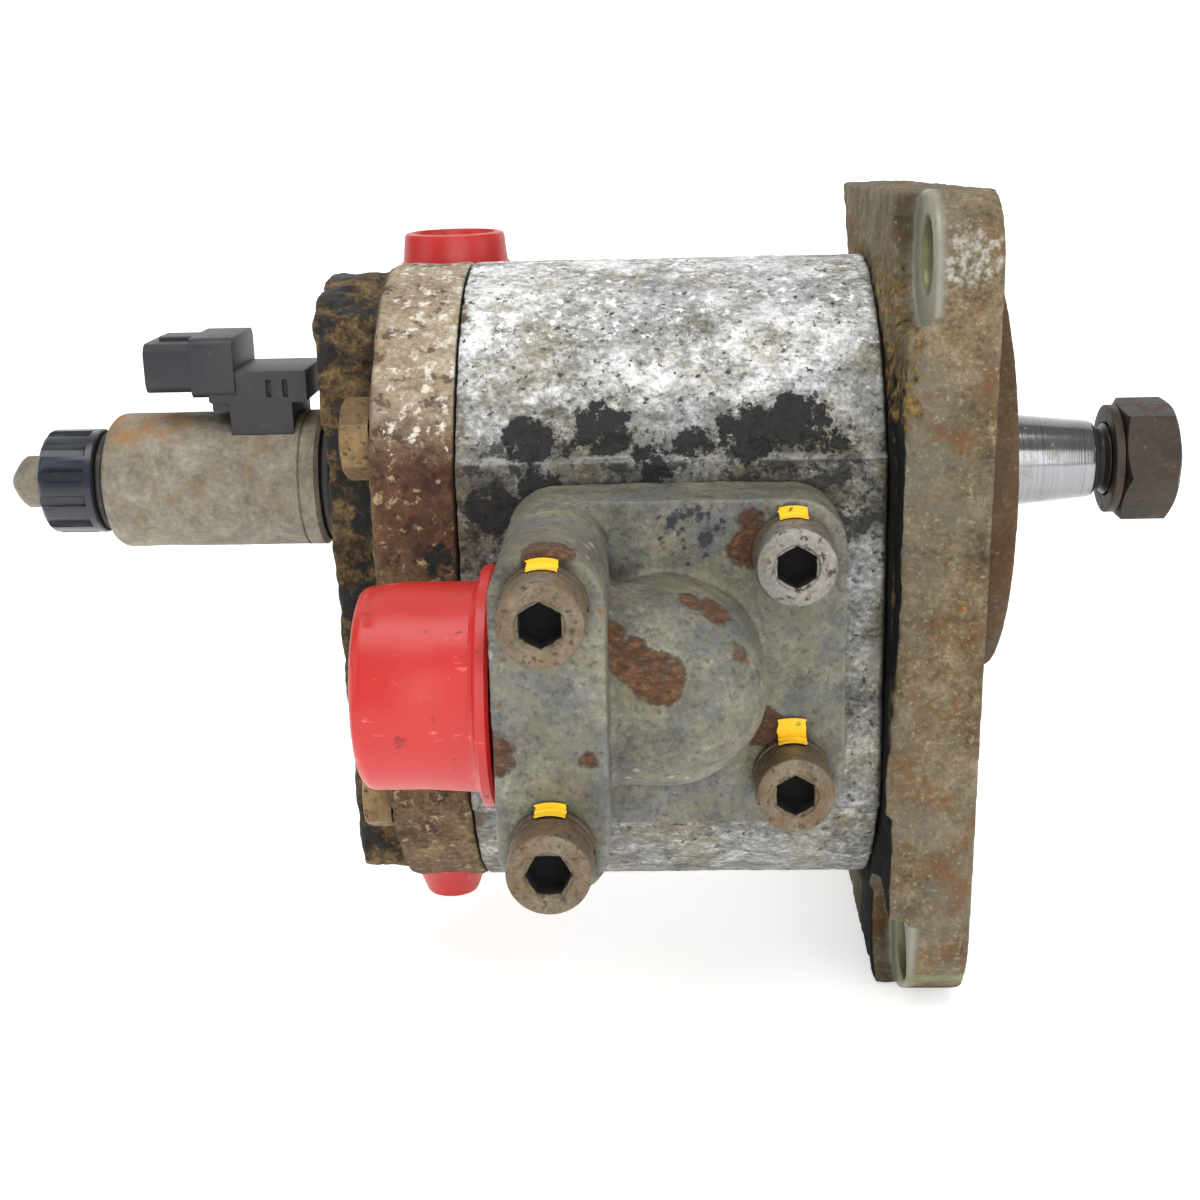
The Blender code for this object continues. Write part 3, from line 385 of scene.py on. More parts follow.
def screw_places():
    half = SCREW_PITCH / 2
    return [(PORT_X + a * half, PORT_Z + b * half) for a in (-1, 1) for b in (1, -1)]


# ------------------------------------------------------------- materials


def colour(red, green, blue):
    """A display colour, 0 to 255, as the linear values that a shader takes."""
    parts = [value / 255 for value in (red, green, blue)]
    return tuple(v / 12.92 if v <= 0.04045 else ((v + 0.055) / 1.055) ** 2.4 for v in parts) + (1.0,)


class Look:
    """A material being made: one Principled BSDF and the nodes that feed it.

    Colours are (red, green, blue) as displayed, 0 to 255. Masks run from 0 to 1.
    """

    def __init__(self, name):
        self.material = bpy.data.materials.new(name)
        self.material.use_nodes = True
        self.tree = self.material.node_tree
        self.shader = self.tree.nodes["Principled BSDF"]
        source = self.tree.nodes.new("ShaderNodeTexCoord")
        self.place = source.outputs["Object"]
        self.facing = source.outputs["Normal"]

    def wire(self, node, name, value):
        socket = node.inputs[name]
        if isinstance(value, bpy.types.NodeSocket):
            self.tree.links.new(value, socket)
        else:
            socket.default_value = colour(*value) if isinstance(value, tuple) else value

    def math(self, operation, a, b=0.0):
        node = self.tree.nodes.new("ShaderNodeMath")
        node.operation = operation
        self.wire(node, 0, a)
        self.wire(node, 1, b)
        return node.outputs[0]

    def times(self, a, b):
        return self.math("MULTIPLY", a, b)

    def inverse(self, mask):
        return self.math("SUBTRACT", 1.0, mask)

    def noise(self, size, detail=5, rough=0.6, seed=0.0, stretch=(1, 1, 1), distortion=0.0):
        mapping = self.tree.nodes.new("ShaderNodeMapping")
        self.wire(mapping, "Vector", self.place)
        mapping.inputs["Location"].default_value = (seed, seed * 0.7, -seed)
        mapping.inputs["Scale"].default_value = [1 / (size * factor) for factor in stretch]
        node = self.tree.nodes.new("ShaderNodeTexNoise")
        self.wire(node, "Vector", mapping.outputs[0])
        node.inputs["Scale"].default_value = 1.0
        node.inputs["Detail"].default_value = detail
        node.inputs["Roughness"].default_value = rough
        node.inputs["Distortion"].default_value = distortion
        return node.outputs["Fac"]

    def step(self, value, start, end):
        """0 below start, 1 above end, smooth between. start may be the higher one."""
        node = self.tree.nodes.new("ShaderNodeMapRange")
        node.interpolation_type = "SMOOTHSTEP"
        self.wire(node, "Value", value)
        if start > end:
            node.inputs["From Min"].default_value = end
            node.inputs["From Max"].default_value = start
            node.inputs["To Min"].default_value = 1.0
            node.inputs["To Max"].default_value = 0.0
        else:
            node.inputs["From Min"].default_value = start
            node.inputs["From Max"].default_value = end
        return node.outputs["Result"]

    def part(self, vector, axis):
        node = self.tree.nodes.new("ShaderNodeSeparateXYZ")
        self.wire(node, 0, vector)
        return node.outputs[axis]

    def ramp(self, axis, start, end):
        """0 to 1 along an axis of the object, between two places in mm."""
        return self.step(self.part(self.place, axis), start * MM, end * MM)

    def facing_to(self, axis, start, end):
        """0 to 1 as the surface turns towards an axis."""
        return self.step(self.part(self.facing, axis), start, end)

    def band(self, axis, start, end, edge):
        rise = self.ramp(axis, start - edge, start + edge)
        fall = self.ramp(axis, end + edge, end - edge)
        return self.times(rise, fall)

    def near(self, centre, radius, edge):
        """1 inside a ball round the centre, 0 outside it, all in mm."""
        node = self.tree.nodes.new("ShaderNodeVectorMath")
        node.operation = "DISTANCE"
        self.wire(node, 0, self.place)
        node.inputs[1].default_value = [value * MM for value in centre]
        return self.step(node.outputs["Value"], (radius + edge) * MM, (radius - edge) * MM)

    def near_any(self, places, edge):
        """1 inside any of the (centre, radius) balls, in mm."""
        total = None
        for centre, radius in places:
            inside = self.near(centre, radius, edge)
            total = inside if total is None else self.math("MAXIMUM", total, inside)
        return total

    def patches(
        self, size, cover, soft=0.05, seed=0.0, detail=7, rough=0.65, where=None, stretch=(1, 1, 1)
    ):
        """A mask of ragged patches over a share of the surface, fewer where `where` is low."""
        value = self.noise(size, detail, rough, seed, stretch)
        if where is not None:
            value = self.math("ADD", value, self.times(self.math("SUBTRACT", where, 1.0), 0.45))
        threshold = statistics.NormalDist(0.5, 0.105).inv_cdf(1 - cover)
        return self.step(value, threshold - soft, threshold + soft)

    def grunge(self, size, seed=0.0, stretch=(1, 1, 1), gain=1.5):
        """Noise from blotches down to grit, spread evenly round 0.5."""
        broad = self.noise(size * 3.5, 3, 0.5, seed, stretch)
        main = self.noise(size, 9, 0.76, seed + 3, stretch)
        grit = self.noise(size * 0.22, 6, 0.72, seed + 5, stretch)
        total = self.math("ADD", self.times(broad, 0.5), self.times(main, 0.9))
        total = self.math("ADD", total, self.times(grit, 0.7))
        return self.math("ADD", self.times(total, gain / 2.1 * 1.6), 0.5 - gain / 2 * 1.6)

    def tones(self, value, *stops):
        """A colour for each level of the value: stops are (level, colour)."""
        node = self.tree.nodes.new("ShaderNodeValToRGB")
        self.wire(node, 0, value)
        ramp = node.color_ramp
        while len(ramp.elements) < len(stops):
            ramp.elements.new(0.5)
        for element, (level, paint) in zip(ramp.elements, stops):
            element.position = level
            element.color = colour(*paint)
        return node.outputs["Color"]

    def shift(self, value, mask, amount):
        return self.math("ADD", value, self.times(mask, amount))

    def columns(self, centres, radius, edge):
        """1 inside round columns along X, at (y, z) centres in mm."""
        flat = self.tree.nodes.new("ShaderNodeVectorMath")
        flat.operation = "MULTIPLY"
        self.wire(flat, 0, self.place)
        flat.inputs[1].default_value = (0, 1, 1)
        total = None
        for y, z in centres:
            node = self.tree.nodes.new("ShaderNodeVectorMath")
            node.operation = "DISTANCE"
            self.wire(node, 0, flat.outputs[0])
            node.inputs[1].default_value = (0, y * MM, z * MM)
            inside = self.step(node.outputs["Value"], (radius + edge) * MM, (radius - edge) * MM)
            total = inside if total is None else self.math("MAXIMUM", total, inside)
        return total

    def hollows(self, distance):
        """Ambient occlusion for painted shade: 1 in a tight corner, where shade falls, 0 in the open.
        """
        node = self.tree.nodes.new("ShaderNodeAmbientOcclusion")
        node.samples = 6
        node.inputs["Distance"].default_value = distance
        return self.step(node.outputs["AO"], 0.75, 0.35)

    def edges(self, start=0.515, end=0.56):
        node = self.tree.nodes.new("ShaderNodeNewGeometry")
        return self.step(node.outputs["Pointiness"], start, end)

    def mix(self, factor, a, b):
        node = self.tree.nodes.new("ShaderNodeMix")
        node.data_type = "RGBA"
        self.wire(node, 0, factor)
        self.wire(node, 6, a)
        self.wire(node, 7, b)
        return node.outputs[2]

    def blend(self, factor, a, b):
        node = self.tree.nodes.new("ShaderNodeMix")
        node.data_type = "FLOAT"
        self.wire(node, 0, factor)
        self.wire(node, 2, a)
        self.wire(node, 3, b)
        return node.outputs[0]

    def coats(self, base, layers):
        """Lays coats over a base. A base is (colour, roughness, metal), a coat starts with its mask."""
        paint, rough, metal = base
        for mask, coat_paint, coat_rough, coat_metal in layers:
            paint = self.mix(mask, paint, coat_paint)
            rough = self.blend(mask, rough, coat_rough)
            metal = self.blend(mask, metal, coat_metal)
        self.wire(self.shader, "Base Color", paint)
        self.wire(self.shader, "Roughness", rough)
        self.wire(self.shader, "Metallic", metal)

    def relief(self, *layers):
        """Bump from (height value, depth in mm) pairs."""
        total = None
        for value, depth in layers:
            scaled = self.times(value, depth * MM)
            total = scaled if total is None else self.math("ADD", total, scaled)
        node = self.tree.nodes.new("ShaderNodeBump")
        node.inputs["Strength"].default_value = 1.0
        node.inputs["Distance"].default_value = 1.0
        self.wire(node, "Height", total)
        self.wire(self.shader, "Normal", node.outputs[0])
        return self.material


def housing_look():
    look = Look("oxidised_aluminium")
    up = look.ramp("Z", 12, 30)
    belt = look.band("Z", -8, 14, 5)
    under = look.ramp("Z", -52, -60)
    level = look.grunge(4.6 * MM, 0.0, (1.2, 1, 1), gain=1.9)
    level = look.shift(level, up, 0.16)
    level = look.shift(level, belt, -0.16)
    level = look.shift(level, under, -0.06)
    grey = look.tones(
        level,
        (0.06, (34, 31, 26)), (0.28, (74, 71, 62)), (0.46, (118, 117, 109)), (0.60, (158, 158, 153)),
        (0.74, (206, 206, 205)), (0.92, (246, 246, 246)),
    )
    olive = look.patches(12 * MM, 0.32, 0.12, 21.0)
    blue = look.patches(16 * MM, 0.28, 0.12, 24.0)
    tar = look.patches(3.5 * MM, 0.80, 0.03, 31.0, rough=0.75, where=look.near_any(TAR_PLACES, 2.5))
    crumbs = look.patches(2.6 * MM, 0.26, 0.04, 35.0, where=look.band("Z", -14, 18, 6))
    white = look.patches(2.4 * MM, 0.17, 0.04, 45.0, where=up)
    pits = look.patches(1.5 * MM, 0.12, 0.05, 5.0)
    soil = look.patches(5 * MM, 0.45, 0.08, 41.0, where=look.ramp("X", -84, -91))
    # Painted highlight: a pale line in patches along the top edge of the port pad, on the near side.
    ridge_highlight = look.band("Z", PAD_TOP / MM - 0.7, PAD_TOP / MM + 0.2, 0.25)
    ridge_highlight = look.times(ridge_highlight, look.patches(14 * MM, 0.40, 0.12, 51.0, where=look.ramp("Y", -39, -41)))
    # Painted shade, grime-brown, in tight corners and hollows, from ambient occlusion.
    dirt_and_shade = look.hollows(5 * MM)
    tar_paint = look.tones(look.noise(1.5 * MM, 6), (0.3, (4, 4, 5)), (0.7, (26, 25, 24)))
    look.coats(
        (grey, 0.6, 0.12),
        (
            (look.times(olive, 0.4), (138, 126, 88), 0.75, 0.0),
            (look.times(blue, 0.3), (142, 148, 162), 0.5, 0.2),
            (white, (244, 244, 244), 0.5, 0.1),
            (pits, (58, 53, 44), 0.8, 0.0),
            (look.times(crumbs, 0.85), (40, 37, 32), 0.8, 0.0),
            (soil, (86, 72, 52), 0.85, 0.0),
            (dirt_and_shade, (40, 35, 28), 0.85, 0.0),
            (look.times(ridge_highlight, 0.35), (196, 196, 192), 0.4, 0.2),
            (tar, tar_paint, 0.65, 0.0),
        ),
    )
    grit = look.noise(1.0 * MM, 5, 0.75)
    return look.relief((level, 0.3), (pits, -0.12), (tar, 0.7), (crumbs, 0.3), (grit, 0.3))


def flange_look():
    look = Look("weathered_cast_iron")
    top = look.ramp("Z", 20, 50)
    level = look.grunge(4.0 * MM, 2.0)
    level = look.shift(level, top, 0.05)
    base = look.tones(
        level,
        (0.08, (44, 34, 22)), (0.32, (80, 66, 45)), (0.50, (110, 96, 70)), (0.66, (136, 122, 94)),
        (0.90, (178, 164, 132)),
    )
    grey = look.patches(16 * MM, 0.42, 0.12, 8.0)
    rust = look.patches(8 * MM, 0.22, 0.08, 13.0)
    orange = look.patches(3 * MM, 0.07, 0.06, 17.0)
    ash = look.patches(1.6 * MM, 0.48, 0.10, 23.0, where=look.near((-6, -58, 44), 11, 9))
    # Painted shadow: near-black on the flange's rear face below the top, on the near side, in the gap
    # behind the housing.
    back = look.facing_to("X", -0.5, -0.85)
    rear_face_shadow = look.times(back, look.times(look.ramp("Z", 34, 22), look.ramp("Y", 15, -15)))
    gold_zone = look.times(look.band("Z", 14, 44, 5), look.ramp("X", -10, -14))
    gold = look.patches(2.6 * MM, 0.58, 0.10, 27.0, where=gold_zone)
    gold_paint = look.tones(look.noise(1.2 * MM, 6), (0.32, (36, 26, 14)), (0.62, (150, 122, 70)))
    cream = look.patches(1.1 * MM, 0.14, 0.06, 33.0)
    rim = look.ramp("X", 0.4, 1.4)
    machined = look.times(look.columns(FLANGE_HOLES, 12.9, 0.3), look.band("X", -12.6, -9.6, 0.8))
    bore = look.columns(FLANGE_HOLES, 6.9, 0.2)
    # Painted shade, grime-brown, in tight corners and hollows, from ambient occlusion; kept off the
    # machined faces.
    dirt_and_shade = look.times(look.hollows(7 * MM), look.inverse(machined))
    look.coats(
        (base, 0.82, 0.08),
        (
            (look.times(grey, 0.55), (118, 114, 102), 0.8, 0.1),
            (look.times(rust, 0.7), (114, 76, 40), 0.9, 0.0),
            (orange, (138, 88, 42), 0.9, 0.0),
            (look.times(cream, 0.6), (166, 156, 128), 0.8, 0.05),
            (ash, (180, 176, 166), 0.8, 0.05),
            (look.times(rim, 0.6), (76, 48, 26), 0.8, 0.05),
            (look.times(dirt_and_shade, 0.8), (44, 35, 25), 0.9, 0.0),
            (rear_face_shadow, (5, 4, 4), 1.0, 0.0),
            (gold, gold_paint, 0.9, 0.0),
            (machined, look.mix(look.noise(3 * MM), (114, 111, 96), (150, 149, 136)), 0.5, 0.3),
            (bore, look.mix(look.noise(3 * MM), (84, 88, 56), (130, 136, 100)), 0.4, 0.4),
        ),
    )
    look.shader.inputs["Specular IOR Level"].default_value = 0.3
    skin = look.inverse(look.math("MAXIMUM", machined, bore))
    grit = look.times(look.noise(0.9 * MM, 6, 0.75, 4.0), skin)
    return look.relief((look.times(level, skin), 0.6), (grit, 0.5), (gold, 0.4))


def cover_look():
    look = Look("rusted_cover_iron")
    top = look.ramp("Z", 8, 24)
    foot = look.ramp("Z", -2, -14)
    level = look.grunge(4.5 * MM, 6.0)
    plain = look.tones(
        level,
        (0.15, (48, 33, 24)), (0.42, (86, 58, 42)), (0.62, (108, 76, 56)), (0.85, (156, 128, 98)),
    )
    chalky = look.tones(
        level,
        (0.10, (88, 70, 50)), (0.36, (140, 122, 98)), (0.58, (172, 158, 136)), (0.85, (220, 212, 198)),
    )
    dull = look.tones(
        level,
        (0.12, (34, 26, 18)), (0.42, (86, 66, 44)), (0.64, (122, 100, 72)), (0.90, (176, 156, 122)),
    )
    paint = look.mix(foot, look.mix(top, plain, chalky), dull)
    boss = look.ramp("X", -104.6, -106.4)
    boss_paint = look.tones(
        look.grunge(4 * MM, 15.0),
        (0.20, (15, 13, 11)), (0.38, (56, 44, 28)), (0.56, (104, 84, 54)), (0.85, (150, 124, 86)),
    )
    grime = look.patches(8 * MM, 0.42, 0.05, 18.0, where=boss)
    black = look.patches(6 * MM, 0.40, 0.04, 26.0, where=look.near((-92, -42, -9), 9, 5))
    flecks = look.patches(2.4 * MM, 0.16, 0.04, 12.0, where=look.inverse(look.times(boss, 0.4)))
    scabs = look.patches(4.2 * MM, 0.22, 0.03, 33.0)
    high_ring = look.times(look.ramp("Z", 4, 16), look.ramp("X", -104.5, -103))
    pale = look.patches(2.2 * MM, 0.24, 0.05, 38.0, where=high_ring)
    # Painted shade, dark brown, in tight corners and hollows, from ambient occlusion.
    dirt_and_shade = look.hollows(6 * MM)
    look.coats(
        (look.mix(boss, paint, boss_paint), 0.85, 0.05),
        (
            (look.times(scabs, 0.7), (54, 36, 27), 0.85, 0.0),
            (flecks, (172, 148, 116), 0.85, 0.0),
            (pale, (222, 214, 200), 0.8, 0.0),
            (look.times(dirt_and_shade, 0.8), (24, 18, 13), 0.85, 0.0),
            (grime, (18, 16, 14), 0.5, 0.0),
            (black, (16, 15, 14), 0.5, 0.0),
        ),
    )
    look.shader.inputs["Specular IOR Level"].default_value = 0.35
    grit = look.noise(1.0 * MM, 6, 0.75)
    relief = ((level, 0.5), (grit, 0.4), (flecks, 0.15), (scabs, -0.15), (grime, 0.5), (black, 0.4))
    return look.relief(*relief)


def elbow_look():
    look = Look("worn_elbow_iron")
    level = look.grunge(5 * MM, 9.0, gain=1.5)
    base = look.tones(
        level,
        (0.10, (44, 44, 39)), (0.34, (80, 79, 69)), (0.52, (106, 104, 90)), (0.70, (132, 129, 111)),
        (0.92, (180, 176, 154)),
    )
    blue = look.patches(13 * MM, 0.36, 0.10, 5.0)
    olive = look.patches(9 * MM, 0.30, 0.10, 12.0)
    specks = look.patches(1.2 * MM, 0.16, 0.06, 19.0)
    ink = look.patches(2.4 * MM, 0.42, 0.05, 14.0, where=look.near((-50, -60, 2), 10, 7))
    rust = look.patches(3.5 * MM, 0.90, 0.09, 15.0, where=look.near_any(RUST_PLACES, 1.5), rough=0.75)
    stain = look.patches(3.0 * MM, 0.06, 0.06, 18.0)
    rust_paint = look.tones(
        look.noise(1.0 * MM, 8, 0.8, stretch=(1.8, 1, 1)),
        (0.34, (38, 25, 16)), (0.52, (84, 56, 36)), (0.70, (132, 98, 68)),
    )
    worn = look.edges(0.53, 0.60)
    # Painted shade, grime-brown, in tight corners and hollows, from ambient occlusion.
    dirt_and_shade = look.hollows(5 * MM)
    look.coats(
        (base, 0.5, 0.2),
        (
            (look.times(blue, 0.45), (92, 97, 108), 0.42, 0.35),
            (look.times(olive, 0.45), (124, 118, 84), 0.7, 0.05),
            (look.times(specks, 0.6), (48, 50, 54), 0.6, 0.1),
            (ink, (34, 37, 44), 0.6, 0.1),
            (look.times(worn, 0.5), (172, 170, 158), 0.5, 0.3),
            (stain, (112, 80, 48), 0.85, 0.0),
            (look.times(dirt_and_shade, 0.8), (48, 39, 27), 0.85, 0.0),
            (rust, rust_paint, 0.95, 0.0),
        ),
    )
    return look.relief((level, 0.12), (look.noise(0.8 * MM, 6, 0.75), 0.16), (rust, 0.25))


def screw_look(name, light, dark, rust_cover, metal):
    look = Look(name)
    base = look.tones(look.grunge(2.2 * MM, 4.0), (0.2, dark), (0.75, light))
    grain = look.noise(0.6 * MM, 4, 0.7, 2.0)
    rust = look.patches(3.2 * MM, rust_cover, 0.12, 7.0)
    dark_spots = look.patches(1.4 * MM, 0.2, 0.05, 9.0)
    # Painted shade, dark brown, in tight corners and between parts, from ambient occlusion.
    dirt_and_shade = look.hollows(3 * MM)
    # Painted shadow: near-black inside each hex socket, where the recess is in shade.
    socket_shade_places = []
    for node, (x, z) in zip(ELBOW_SCREWS, screw_places()):
        centre = (x / MM, low(f"{node}_screw", "Y") / MM + 3.0, z / MM)
        socket_shade_places.append((centre, 4.1))
    socket = look.near_any(socket_shade_places, 0.15)
    rust_paint = look.mix(look.noise(1.2 * MM), (82, 58, 34), (124, 92, 54))
    look.coats(
        (base, 0.42, metal),
        (
            (dark_spots, (56, 47, 34), 0.6, metal * 0.5),
            (look.times(rust, 0.7), rust_paint, 0.85, 0.05),
            (dirt_and_shade, (42, 33, 24), 0.85, 0.0),
            (socket, (6, 5, 4), 1.0, 0.0),
        ),
    )
    return look.relief((grain, 0.06), (rust, 0.08), (dark_spots, -0.03))


def coil_look():
    look = Look("zinc_coil")
    level = look.grunge(5 * MM, 11.0, gain=1.2)
    base = look.tones(
        level,
        (0.10, (62, 56, 46)), (0.36, (100, 93, 79)), (0.56, (128, 121, 105)), (0.78, (156, 149, 133)),
        (0.95, (186, 180, 165)),
    )
    upper = look.times(look.ramp("Z", 3, 10), look.ramp("X", -138, -150))
    rust = look.patches(5 * MM, 0.55, 0.12, 7.0, where=upper)
    stain = look.patches(5 * MM, 0.16, 0.12, 9.0)
    # Painted shade, dark brown, in tight corners and hollows, from ambient occlusion.
    dirt_and_shade = look.hollows(4 * MM)
    look.coats(
        (base, 0.58, 0.2),
        (
            (look.times(stain, 0.6), (120, 92, 56), 0.8, 0.05),
            (look.times(rust, 0.75), (146, 102, 54), 0.85, 0.0),
            (look.times(dirt_and_shade, 0.8), (46, 39, 30), 0.85, 0.0),
        ),
    )
    return look.relief((level, 0.12), (look.noise(0.7 * MM, 5, 0.7), 0.1), (rust, 0.05))


def red_plastic_look():
    look = Look("red_polyethylene")
    base = look.mix(look.noise(16 * MM, 3, 0.5), (166, 22, 18), (190, 38, 31))
    grain = look.noise(1.2 * MM, 3, 0.6, 3.0)
    scuffs = look.patches(2.4 * MM, 0.05, 0.05, 5.0, stretch=(2.5, 1, 1))
    dirt_and_shade = look.patches(3 * MM, 0.06, 0.04, 8.0)
    look.coats(
        (base, 0.38, 0.0),
        ((scuffs, (232, 108, 98), 0.5, 0.0), (dirt_and_shade, (130, 28, 22), 0.6, 0.0)),
    )
    look.shader.inputs["Subsurface Weight"].default_value = 0.15
    look.shader.inputs["Subsurface Scale"].default_value = 1.5 * MM
    return look.relief((grain, 0.05), (scuffs, 0.03))


def plastic_look(name, light, dark, rough):
    look = Look(name)
    base = look.mix(look.noise(9 * MM, 4, 0.6), dark, light)
    grain = look.noise(0.5 * MM, 3, 0.6, 3.0)
    dust = look.patches(2.6 * MM, 0.08, 0.06, 6.0)
    # Painted shade: near-black in tight corners and hollows, from ambient occlusion.
    corner = look.hollows(3 * MM)
    look.coats(
        (base, rough, 0.0),
        ((dust, (68, 65, 58), 0.8, 0.0), (corner, (24, 21, 17), 0.85, 0.0)),
    )
    return look.relief((grain, 0.02), (dust, 0.02))


def machined_look(name, light, dark, rough, rust_cover=0.03):
    """Turned or ground metal: fine rings across the axis, a few stains."""
    look = Look(name)
    rings = look.noise(0.35 * MM, 2, 0.5, 4.0, stretch=(0.5, 60, 60))
    base = look.mix(rings, dark, light)
    stain = look.patches(5 * MM, 0.16, 0.08, 6.0)
    rust = look.patches(2.2 * MM, rust_cover, 0.04, 9.0)
    grease = look.ramp("X", 27.2, 28.2)
    look.coats(
        (base, look.blend(rings, rough, rough + 0.08), 1.0),
        (
            (look.times(stain, 0.6), (128, 125, 117), rough + 0.14, 0.9),
            (rust, (104, 70, 42), 0.8, 0.1),
            (grease, (34, 31, 28), 0.35, 0.3),
        ),
    )
    return look.relief((rings, 0.01), (rust, 0.03))


def black_steel_look():
    look = Look("oily_black_steel")
    base = look.mix(look.noise(3 * MM, 6, 0.65), (34, 28, 24), (66, 56, 46))
    grain = look.noise(0.6 * MM, 4, 0.7, 2.0)
    rust = look.patches(3 * MM, 0.18, 0.10, 5.0)
    worn = look.patches(1.2 * MM, 0.06, 0.05, 8.0)
    look.coats(
        (base, 0.5, 0.5),
        ((rust, (72, 52, 36), 0.8, 0.1), (worn, (96, 86, 72), 0.4, 0.7)),
    )
    return look.relief((grain, 0.08), (rust, 0.05))


def rubber_look():
    look = Look("dusty_rubber")
    base = look.mix(look.noise(4 * MM, 5), (22, 21, 20), (42, 40, 37))
    grain = look.noise(0.5 * MM, 3, 0.6, 1.0)
    dust = look.patches(2 * MM, 0.15, 0.05, 6.0)
    look.coats((base, 0.62, 0.0), ((dust, (74, 68, 58), 0.9, 0.0),))
    return look.relief((grain, 0.02), (dust, 0.01))


def bronze_look():
    look = Look("bearing_bronze")
    base = look.mix(look.noise(3 * MM, 5), (150, 112, 66), (184, 146, 92))
    grain = look.noise(0.4 * MM, 3, 0.6, 1.0)
    stain = look.patches(3 * MM, 0.2, 0.06, 6.0)
    look.coats((base, 0.35, 0.9), ((stain, (96, 72, 44), 0.5, 0.7),))
    return look.relief((grain, 0.01), (stain, 0.005))


def paint_look():
    look = Look("yellow_marker_paint")
    base = look.mix(look.noise(2 * MM, 4), (232, 176, 18), (250, 206, 36))
    grain = look.noise(0.8 * MM, 3, 0.6, 1.0)
    chips = look.patches(1.6 * MM, 0.12, 0.03, 6.0)
    look.coats((base, 0.42, 0.0), ((chips, (120, 92, 40), 0.8, 0.0),))
    return look.relief((grain, 0.05), (chips, -0.05))


# Where the elbow has rusted through its plating: place and size of each patch, in mm.
RUST_PLACES = (
    ((-56, -82, -16), 4.6),
    ((-60, -81, -13), 3.8),
    ((-63.5, -79, -10), 3.0),
    ((-50, -72, -5), 3.2),
    ((-46.5, -72, -8), 3.6),
    ((-44, -66, -5), 3.2),
    ((-40.8, -60, -1.7), 4.2),
    ((-40.8, -60, 3), 3.0),
    ((-44.5, -75, -14.8), 2.6),
    ((-38.8, -60, -33.2), 4.4),
    ((-72, -87, 5.5), 4.6),
    ((-81.5, -86, -26), 4.6),
    ((-66.5, -89, -27), 1.8),
)

# Where black tar sticks to the near side of the housing.
TAR_PLACES = (
    ((-78, -39, 12), 6.0),
    ((-71, -39, 9), 5.0),
    ((-65, -38, 14), 6.5),
    ((-57, -40, 8), 5.5),
    ((-50, -39, 11), 5.0),
    ((-40, -39, 13), 6.5),
    ((-32, -38, 15), 6.5),
    ((-25, -39, 10), 5.0),
    ((-84, -42, 2), 6.0),
    ((-76, -43, 5), 5.0),
)

LOOKS = {
    "cast_iron": flange_look(),
    "cover_iron": cover_look(),
    "aluminium": housing_look(),
    "bearing_alloy": machined_look("bearing_alloy", (190, 190, 186), (160, 160, 156), 0.4),
    "elbow_iron": elbow_look(),
    "machined_steel": machined_look("ground_steel", (166, 166, 168), (116, 116, 119), 0.13),
    "screw_steel": screw_look("worn_screw_steel", (122, 109, 88), (64, 54, 40), 0.30, 0.35),
    "zinc_yellow": screw_look("yellow_zinc", (140, 116, 76), (92, 72, 46), 0.30, 0.45),
    "black_steel": black_steel_look(),
    "coil_steel": coil_look(),
    "bronze": bronze_look(),
    "rubber": rubber_look(),
    "nut_plastic": plastic_look("glossy_nut_plastic", (38, 42, 54), (20, 23, 31), 0.28),
    "connector_plastic": plastic_look("matt_connector_plastic", (36, 39, 43), (24, 26, 30), 0.5),
    "red_plastic": red_plastic_look(),
    "terminal_metal": machined_look("tinned_brass", (206, 196, 160), (176, 164, 124), 0.3),
}
PAINT = paint_look()


# ------------------------------------------------------------ castings


def housing_outline(grow=0.0, pads=True, steps=40):
    """The housing across the shaft: a round top and bottom, and a flat port pad on each side."""
    radius = ARC_R + grow
    side = SIDE_Y + grow if pads else SIDE_Y + grow - 1.7 * MM
    top = PORT_Z + PAD_HALF
    bottom = PORT_Z - PAD_HALF
    start = math.asin((top - ARC_TOP) / radius)
    lower = math.asin((bottom - ARC_BOTTOM) / radius)
    outline = arc((0, ARC_TOP), radius, start, math.pi - start, steps)
    outline += [(-side, top), (-side, bottom)]
    outline += arc((0, ARC_BOTTOM), radius, math.pi - lower, math.tau + lower, steps)
    outline += [(side, bottom), (side, top)]
    return outline


def eight(radius, steps=48):
    half = -GEAR_Z / 2
    reach = math.asin(half / radius)
    upper = arc((0, 0), radius, -reach, math.pi + reach, steps)
    lower = arc((0, GEAR_Z), radius, math.pi - reach, math.tau + reach, steps)
    return upper + lower[1:-1]


def make_flange():
    corners = [(y * MM, z * MM, radius * MM) for y, z, radius in FLANGE_CORNERS]
    flange = slab("flange_casting", rounded(corners, 20), "X", FLANGE_BACK, 0)
    pad_back = low("front_flange", "X")
    join(flange, slab("pad", housing_outline(3 * MM), "X", pad_back, FLANGE_BACK + 1 * MM))
    pilot = ((0, 0), (0, PILOT_R), (PILOT_END + 1 * MM, PILOT_R), (PILOT_END + 1 * MM, 0))
    join(flange, turned("pilot", pilot, (-1 * MM, 0, 0)))
    back = pad_back - 1 * MM
    holes = [(y * MM, z * MM) for y, z in FLANGE_HOLES]
    drill(flange, "X", [(0, 0)], SEAL_FLOOR, 8 * MM, SEAL_BORE_R)
    drill(flange, "X", [(0, 0)], back, 0, SHAFT_HOLE_R)
    drill(flange, "X", holes, back, SPOTFACE_FLOOR, SPOTFACE_R)
    drill(flange, "X", holes, back, 2 * MM, HOLE_R)
    drill(flange, "X", BOLTS, back, SEAL_FLOOR, BOLT_R, 24)
    cast(flange, 0.65 * MM, 7)

    def rough_here(point):
        if any(math.dist((point.y, point.z), hole) < SPOTFACE_R - 0.5 * MM for hole in holes):
            return 0.1
        return 0.12 if point.x > -1.2 * MM else 1.0

    roughen(flange, ((14, 0.35, 0), (4.5, 0.28, 0), (1.9, 0.2, 0), (3, 0.4, 0.3)), rough_here)
    show(flange, LOOKS["cast_iron"], "front_flange", angle=60)


